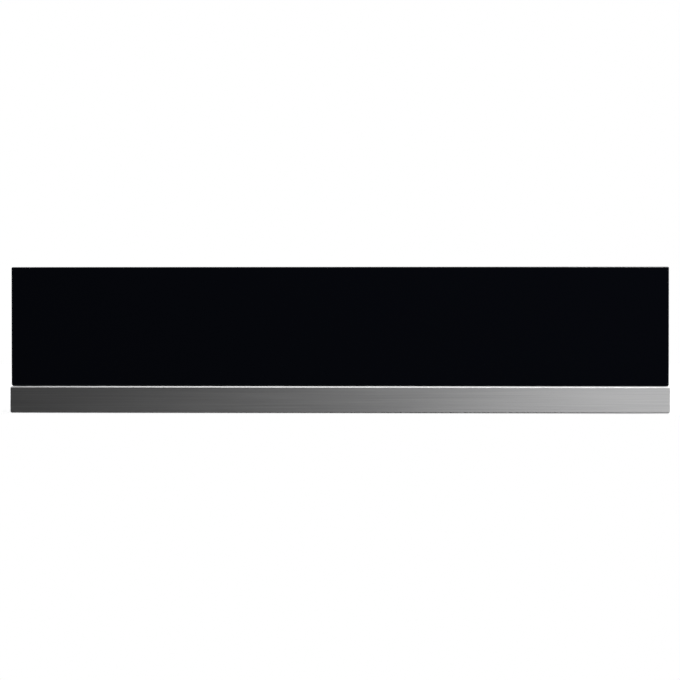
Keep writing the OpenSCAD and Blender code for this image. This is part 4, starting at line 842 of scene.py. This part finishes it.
def gland(material):
    """The gland: a flange, a neck in the rear sheet and a spout that narrows in soft ribs."""
    low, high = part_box("cable_gland")
    middle = middle_of(low, high)
    middle.y = 0
    start, end, bore = low.y, high.y, 4 * MM
    rear = start + 5 * MM
    profile = [(bore, start), (8.0 * MM, start), (8.25 * MM, start + 0.6 * MM), (8.25 * MM, rear - 1.0 * MM),
               (7.0 * MM, rear - 1.0 * MM), (7.0 * MM, rear), (11.0 * MM, rear), (11.0 * MM, rear + 2.2 * MM),
               (10.2 * MM, rear + 3.0 * MM), (6.6 * MM, rear + 3.0 * MM)]
    ribs, reach = 3, end - rear - 3.4 * MM
    for rib in range(ribs):
        base = rear + 3.4 * MM + reach * rib / ribs
        radius = (6.5 - 0.25 * rib) * MM
        profile += [(radius - 0.9 * MM, base), (radius, base + reach * 0.10), (radius, base + reach * 0.22)]
    profile += [(5.0 * MM, end), (bore, end), (bore, start)]
    piece = turned("ribbed_gland", profile, middle, (0, 1, 0), 48)
    smooth(piece, 30)
    return give(piece, material, "housing", SLOTS["cable_gland"], "cable_gland")


# ---- The controls ----

PANEL_FACE = PANEL_LOW.y
PANEL_MIDDLE = (PANEL_LOW.x + PANEL_HIGH.x) / 2
KNOB_MIDDLE = (KNOB_LOW.z + KNOB_HIGH.z) / 2
KNOB_LIFT = 0.6 * MM            # from the panel to the skirt
KNOB_HEIGHT = 13 * MM
SKIRT_HEIGHT = 3 * MM
SKIRT_RIM = 1.5 * MM            # by which the skirt is wider than the grip
FLUTES = 18
FLUTE_RADIUS = 1.1 * MM
FLUTE_OFFSET = 0.4 * MM         # from the side of the grip out to the middle of a flute
TOWARDS_USER = (0, -1, 0)


def fluted_knob(material, print_material):
    """The temperature knob: a skirt, a grip with eighteen flutes, a dished face and a white pointer."""
    x, z, back, height = PANEL_MIDDLE, KNOB_MIDDLE, PANEL_FACE - KNOB_LIFT, KNOB_HEIGHT
    radius = (KNOB_HIGH.x - KNOB_LOW.x) / 2
    grip = radius - SKIRT_RIM
    skirt = turned("skirt", [(0, 0), (radius, 0), (radius, 1.8 * MM), (radius - 0.5 * MM, 2.5 * MM),
                             (grip, SKIRT_HEIGHT), (0, SKIRT_HEIGHT)], (x, back, z), TOWARDS_USER, 72)
    smooth(skirt, 30)
    rim, dish = 0.6 * MM, height - 0.5 * MM
    round_rim = [(grip - (1 - math.cos(turn)) * rim, height - (1 - math.sin(turn)) * rim)
                 for turn in (0, math.pi / 6, math.pi / 3, math.pi / 2)]
    face = [(grip - 1.4 * MM, height), (grip - 1.7 * MM, height - 0.35 * MM), (grip - 2.4 * MM, dish), (0, dish)]
    foot = 2 * MM
    body = turned("grip", [(0, foot), (grip, foot)] + round_rim + face, (x, back, z), TOWARDS_USER, 144)
    just_above_skirt = SKIRT_HEIGHT + 0.2 * MM
    cutter = add("cutter", bpy.ops.mesh.primitive_cylinder_add, vertices=24, radius=FLUTE_RADIUS, depth=height,
                 location=(grip + FLUTE_OFFSET, back - height / 2 - just_above_skirt, 0),
                 rotation=(math.radians(90), 0, 0))
    cutters = [placed_copy(cutter, Matrix.Translation((x, 0, z)) @ Matrix.Rotation(2 * math.pi * i / FLUTES, 4, "Y"))
               for i in range(FLUTES)]
    bpy.data.objects.remove(cutter)
    cutter = joined("cutter", cutters)
    apply_modifier(body, "BOOLEAN", operation="DIFFERENCE", object=cutter, solver="EXACT")
    bpy.data.objects.remove(cutter)
    soften(body, 0.12 * MM, 2, 35)
    smooth(body, 30)
    spindle_radius, spindle_end, chamfer = 3 * MM, -14.6 * MM, 0.3 * MM
    spindle = turned("spindle", [(0, spindle_end), (spindle_radius - chamfer, spindle_end),
                                 (spindle_radius, spindle_end + chamfer), (spindle_radius, 0), (0, 0)],
                     (x, back, z), TOWARDS_USER, 32)
    smooth(spindle, 40)
    knob = joined("fluted_knob", [body, skirt, spindle])
    give(knob, material, "knob", SLOTS["temperature_knob"], "temperature_knob")
    half_width, rise, sunk, start, inset = 0.6 * MM, 0.25 * MM, 0.55 * MM, 2.5 * MM, 0.6 * MM
    pointer = add_block("knob_pointer", (x - half_width, back - height - rise, z + start),
                        (x + half_width, back - height + sunk, z + grip - inset))
    soften(pointer, 0.2 * MM, 3)
    smooth(pointer)
    give(pointer, print_material, "knob", SLOTS["temperature_knob"])


INK = 0.04 * MM                 # thickness of a printed mark


def printed(name, words, size, matrix):
    """Printed characters as a thin mesh, set in their place by a matrix."""
    bpy.ops.object.select_all(action="DESELECT")
    bpy.ops.object.text_add(location=(0, 0, 0))
    text = bpy.context.object
    text.data.body = words
    text.data.size = size
    text.data.align_x = "CENTER"
    text.data.align_y = "CENTER"
    text.data.extrude = INK / 2
    text.data.resolution_u = 4
    bpy.ops.object.convert(target="MESH")
    mark = bpy.context.object
    mark.name = mark.data.name = name
    mark.data.transform(matrix)
    return mark


UPRIGHT = Matrix.Rotation(math.radians(90), 4, "X")


def dial_marks(material):
    """Numbers 0 to 4 round the knob, with a short bar at each and fine bars between them."""
    middle = Vector((PANEL_MIDDLE, PANEL_FACE - INK / 4, KNOB_MIDDLE))
    last, bars_to_number, number_radius = 4, 4, 14.1 * MM
    marks = []
    for step in range(last * bars_to_number + 1):
        turn = math.radians(270) * step / (last * bars_to_number)
        whole = step % bars_to_number == 0
        lean = Matrix.Rotation(turn, 4, "Y")
        inner, outer = 11.4 * MM, (12.3 if whole else 11.9) * MM
        half = (0.22 if whole else 0.12) * MM
        bar = add_block("dial_bar", (-half, -INK / 2, inner), (half, INK / 2, outer))
        with Shaping(bar, "EDGE") as shape:
            shape.pick_edges(along(1))
            bpy.ops.mesh.bevel(offset=half * 0.6, segments=2, affect="EDGES")
        bar.data.transform(Matrix.Translation(middle) @ lean)
        marks.append(bar)
        if whole:
            place = middle + number_radius * Vector((math.sin(turn), 0, math.cos(turn)))
            number = str(step // bars_to_number)
            marks.append(printed("dial_number", number, 2.9 * MM, Matrix.Translation(place) @ UPRIGHT))
    give(joined("dial_marks", marks), material, "housing", SLOTS["control_panel"])


def switch_marks(material):
    """ON and OFF signs of the switch, on the two slopes of its rocker."""
    axis = Vector((PANEL_MIDDLE, PANEL_FACE + 1.5 * MM, (SWITCH_LOW.z + SWITCH_HIGH.z) / 2))
    tilt = Matrix.Rotation(math.radians(-7), 4, "X")
    half_height, face, dip = 10.1 * MM, 4.2 * MM, 1.0 * MM      # face: from the axis to the ends of the slopes
    share, lift = 0.55, 0.03 * MM                               # share: of the way up or down a slope
    marks = []
    for sign, side in (("I", 1), ("O", -1)):
        slope = Matrix.Rotation(math.atan2(dip, half_height) * side, 4, "X")
        on_slope = Matrix.Translation((0, -(face - dip * (1 - share)) - lift, side * share * half_height))
        place = Matrix.Translation(axis) @ tilt @ on_slope @ slope @ UPRIGHT
        marks.append(printed("switch_mark", sign, 3.6 * MM, place))
    give(joined("switch_marks", marks), material, "rocker", SLOTS["switch_rocker"])


def lamp(lens_material, collar_material):
    """The pilot lamp: a domed lens in a thin collar, with its body behind the panel."""
    seat = (PANEL_MIDDLE, PANEL_FACE, (LAMP_LOW.z + LAMP_HIGH.z) / 2)
    lens = turned("lamp_lens", [(0, -12 * MM), (3 * MM, -12 * MM), (3 * MM, 1.2 * MM), (2.75 * MM, 2.4 * MM),
                                (2.15 * MM, 3.3 * MM), (1.2 * MM, 3.95 * MM), (0, 4.2 * MM)],
                  seat, TOWARDS_USER, 48)
    smooth(lens, 50)
    give(lens, lens_material, "housing", SLOTS["pilot_lamp"], "pilot_lamp")
    inner, outer, foot = 3.05 * MM, 4.5 * MM, 0.02 * MM
    collar = turned("lamp_collar", [(inner, foot), (outer, foot), (outer, 0.6 * MM), (4.1 * MM, 1.1 * MM),
                                    (3.4 * MM, 1.25 * MM), (inner, 1.0 * MM), (inner, foot)], seat, TOWARDS_USER, 48)
    smooth(collar, 30)
    give(collar, collar_material, "housing", SLOTS["pilot_lamp"], "pilot_lamp")


# ---- The scene ----

FLOOR_REACH = 1.6               # from the middle to the floor's sides and rear
FLOOR_BEHIND_FRONT = 24 * MM    # the floor starts so far behind the strip
FLOOR_GLOW_SEEN = 0.66          # what the lamps leave to be added, for the camera to see the floor white
FLOOR_GLOW_MIRRORED = 0.3
WORLD_DIM = 0.006
WORLD_BESIDE = 0.5              # of white, in metal and glass that mirror the sides of the room
FRONT_WIDTH_IN_VIEW = 660.1 / 680


def seen_and_mirrored(paint):
    """Two values: 1 for rays of the camera, and 1 for rays that metal and glass send on."""
    seen, glossy, through = (paint.node("ShaderNodeLightPath", output=f"Is {kind} Ray")
                             for kind in ("Camera", "Glossy", "Transmission"))
    return seen, glossy.highest(through)


def white_stage(name):
    """Pale floor. The camera sees it as white, and it keeps the object's shadow."""
    paint = Paint(name, (0.80, 0.80, 0.80), 0.9)
    paint.feed("Base Color", paint.blend(paint.noise(paint.place, 4, 2), (0.79, 0.79, 0.79), (0.81, 0.81, 0.81)))
    tree = paint.tree
    seen, mirrored = seen_and_mirrored(paint)
    glow = tree.nodes.new("ShaderNodeEmission")
    glow.inputs["Color"].default_value = (1, 1, 1, 1)
    strength = seen * FLOOR_GLOW_SEEN + mirrored * FLOOR_GLOW_MIRRORED
    tree.links.new(strength.output, glow.inputs["Strength"])
    both = tree.nodes.new("ShaderNodeAddShader")
    tree.links.new(paint.shader.outputs[0], both.inputs[0])
    tree.links.new(glow.outputs[0], both.inputs[1])
    tree.links.new(both.outputs[0], tree.nodes["Material Output"].inputs["Surface"])
    return paint.material


def floor_under_housing():
    """A floor that ends under the front, so that neither the glass nor the strip mirrors it."""
    front = STRIP_LOW.y + FLOOR_BEHIND_FRONT
    floor = add("floor", bpy.ops.mesh.primitive_plane_add, size=1, location=(0, (front + FLOOR_REACH) / 2, 0))
    with Shaping(floor, "VERT"):
        bpy.ops.mesh.select_all(action="SELECT")
        bpy.ops.transform.resize(value=(2 * FLOOR_REACH, FLOOR_REACH - front, 1))
    floor.data.materials.append(white_stage("stage_white"))


def world():
    """White to the camera. In metal and glass it is white behind the object and grey beside it. Else it is dim."""
    made = bpy.data.worlds.new("studio")
    bpy.context.scene.world = made
    made.use_nodes = True
    tree = made.node_tree
    dim = tree.nodes["Background"]
    dim.inputs["Color"].default_value = (0.92, 0.96, 1.0, 1)
    dim.inputs["Strength"].default_value = WORLD_DIM
    white = tree.nodes.new("ShaderNodeBackground")
    white.inputs["Color"].default_value = (1, 1, 1, 1)
    sky = Sky(tree)
    seen, mirrored = seen_and_mirrored(sky)
    behind, beside = sky.y.between(0.0, 0.4), abs(sky.x).between(0.5, 0.8) * WORLD_BESIDE
    mix = tree.nodes.new("ShaderNodeMixShader")
    tree.links.new(seen.highest(mirrored * behind.highest(beside)).output, mix.inputs[0])
    tree.links.new(dim.outputs[0], mix.inputs[1])
    tree.links.new(white.outputs[0], mix.inputs[2])
    tree.links.new(mix.outputs[0], tree.nodes["World Output"].inputs["Surface"])


def soft_light(name, place, target, width, height, watts):
    """A rectangular lamp at a place, turned towards a target."""
    light = bpy.data.lights.new(name, "AREA")
    light.shape = "RECTANGLE"
    light.size, light.size_y = width, height
    light.energy = watts
    holder = bpy.data.objects.new(name, light)
    bpy.context.scene.collection.objects.link(holder)
    aim = Vector(target) - Vector(place)
    holder.matrix_world = Matrix.Translation(place) @ aim.to_track_quat("-Z", "Y").to_matrix().to_4x4()


def studio_light():
    """A broad light overhead, a narrow one whose highlight fades along the strip, one beside it and two behind."""
    soft_light("overhead", (0.3, -0.1, 1.9), (0.05, -0.1, 0), 2.8, 2.0, 26)
    soft_light("key", (0.70, -2.1, 1.5), (0.1, -0.28, 0.06), 0.4, 0.8, 21.8)
    soft_light("right_front", (2.3, -1.7, 0.9), (0, -0.2, 0.06), 1.4, 1.4, 26)
    soft_light("left_rear", (-1.9, 1.9, 0.9), (0, 0, 0.06), 2.4, 1.5, 9)
    soft_light("right_rear", (1.9, 1.8, 1.0), (0, 0, 0.06), 2.4, 1.5, 7)


def photo_camera():
    """A long lens that looks at the front's middle from a degree to the right and a little above."""
    shift, distance, yaw, rise = 1.15 * MM, 1.5, math.radians(1.3), 14 * MM
    middle = Vector((shift, STRIP_LOW.y, (STRIP_LOW.z + GLASS_HIGH.z) / 2))
    data = bpy.data.cameras.new("photo_camera")
    data.sensor_width = 36
    data.lens = data.sensor_width * FRONT_WIDTH_IN_VIEW * distance / (STRIP_HIGH.x - STRIP_LOW.x)
    camera = bpy.data.objects.new("photo_camera", data)
    bpy.context.scene.collection.objects.link(camera)
    place = middle + Vector((distance * math.sin(yaw), -distance * math.cos(yaw), rise))
    aim = (middle - place).to_track_quat("-Z", "Y").to_matrix().to_4x4()
    camera.matrix_world = Matrix.Translation(place) @ aim
    bpy.context.scene.camera = camera


def build_front_and_drawer():
    """What rides on the slides: the front with its filling, and the pan with its mat and screws."""
    glass_front(black_glass())
    steel_strip_front(front_strip_steel(), bright_cut())
    pressed("front_carrier", dark_coat(), 0.4 * MM)
    paint_solid("tape_pads", rubber("foam_tape"))
    paint_solid("front_insulation", glass_wool_felt("front_wool"))
    plated = zinc_plate()
    paint_solid("front_spacers", plated)
    pressed("inner_front_skin", brushed_sheet("skin_steel", (0.60, 0.60, 0.61), "X"), 0.25 * MM)
    pan(brushed_sheet("pan_steel", (0.58, 0.58, 0.59), "Y"))
    pan_screws(plated)
    ribbed_mat(mat_rubber())
    pressed("striker_plate", plated, 0.2 * MM)


def build_slides():
    """Both slides: three rolled members and two cages of balls each."""
    rolled = zinc_plate("rolled_zinc", (0.60, 0.62, 0.64), 0.3)
    balls = polished_balls()
    for side in ("left", "right"):
        for member in ("outer_slide", "middle_slide", "inner_slide"):
            pressed(f"{member}_{side}", rolled, 0, angle=40)
        for cage in ("outer_cage", "inner_cage"):
            pressed(f"{cage}_{side}", balls, 0, angle=40)
    paint_solid("slide_screws_housing", rolled)


def build_housing():
    """The shell and the sheets inside it, with the blanket, screws, feet, gland and buffers."""
    shell = galvanised_sheet()
    liner = aluminised_sheet()
    for node in ("base_pan", "side_wall_left", "side_wall_right", "rear_wall", "top_cover"):
        pressed(node, shell, 0.35 * MM)
    for node in ("inner_wall_left", "inner_wall_right", "inner_ceiling", "air_baffle", "air_box"):
        pressed(node, liner, 0.2 * MM)
    pressed("front_frame", brushed_sheet("frame_steel", (0.42, 0.43, 0.44), "X", 0.38), 0.3 * MM)
    paint_solid("glass_wool", glass_wool_felt("ceiling_wool"))
    housing_screws(zinc_plate("screw_zinc", (0.64, 0.65, 0.66), 0.24))
    black_rubber = rubber("black_rubber")
    rubber_feet(black_rubber)
    gland(black_rubber)
    pressed("stop_buffers", black_rubber, 0.4 * MM)


def build_warm_air_unit():
    """Heater, fan and motor, and what sits beside them at the rear."""
    brass = zinc_plate("plain_brass", (0.62, 0.47, 0.20), 0.3)
    pressed("heating_element", heat_tinted_steel(), 0, angle=40)
    for node in ("heater_flange", "motor_bracket_front", "motor_bracket_rear"):
        pressed(node, brass, 0.2 * MM)
    pressed("fan_wheel", brushed_sheet("fan_aluminium", (0.62, 0.63, 0.64), "Z", 0.32), 0, angle=40)
    pressed("motor_core", laminations(), 0.2 * MM)
    pressed("motor_coil", copper_winding(), 0.5 * MM)
    pressed("motor_rotor", zinc_plate("turned_steel", (0.45, 0.46, 0.47), 0.25), 0.2 * MM)
    pressed("safety_cutout", moulded_plastic("phenolic", (0.05, 0.05, 0.055), 0.4), 0.3 * MM)
    pressed("latch_body", moulded_plastic("acetal", (0.68, 0.68, 0.65), 0.42), 0.4 * MM)
    pressed("latch_plunger", moulded_plastic("plunger_acetal", (0.20, 0.20, 0.21), 0.45), 0.2 * MM)
    pressed("terminal_block", moulded_plastic("polyamide", (0.74, 0.71, 0.62), 0.5), 0.3 * MM)
    pressed("wiring_loom", rubber("loom_sleeve", (0.022, 0.022, 0.024), 0.5), 0, angle=60)


def build_controls():
    """The panels of both pockets, and the switch, lamp and knob on the right one."""
    panel_plastic = moulded_plastic("panel_plastic", (0.016, 0.016, 0.018), 0.46, 0.04 * MM, 1100)
    pressed("control_panel", panel_plastic, 0.4 * MM, 3)
    pressed("blank_panel", panel_plastic, 0.4 * MM, 3)
    pressed("thermostat", moulded_plastic("thermostat_case", (0.56, 0.52, 0.42), 0.5), 0.3 * MM)
    gloss = moulded_plastic("switch_plastic", (0.010, 0.010, 0.011), 0.18, 0.004 * MM)
    pressed("switch_body", gloss, 0.35 * MM, 3)
    pressed("switch_rocker", gloss, 0.3 * MM, 3)
    ink = white_print()
    fluted_knob(moulded_plastic("knob_plastic", (0.024, 0.024, 0.027), 0.38, 0.02 * MM, 1500), ink)
    dial_marks(ink)
    switch_marks(ink)
    lamp(amber_lens(), zinc_plate("collar_chrome", (0.68, 0.69, 0.70), 0.12))


photo_camera()
world()
studio_light()
floor_under_housing()
build_front_and_drawer()
build_slides()
build_housing()
build_warm_air_unit()
build_controls()

bpy.context.scene.view_settings.view_transform = "Standard"


def corners(box):
    return [list(corner) for corner in box]
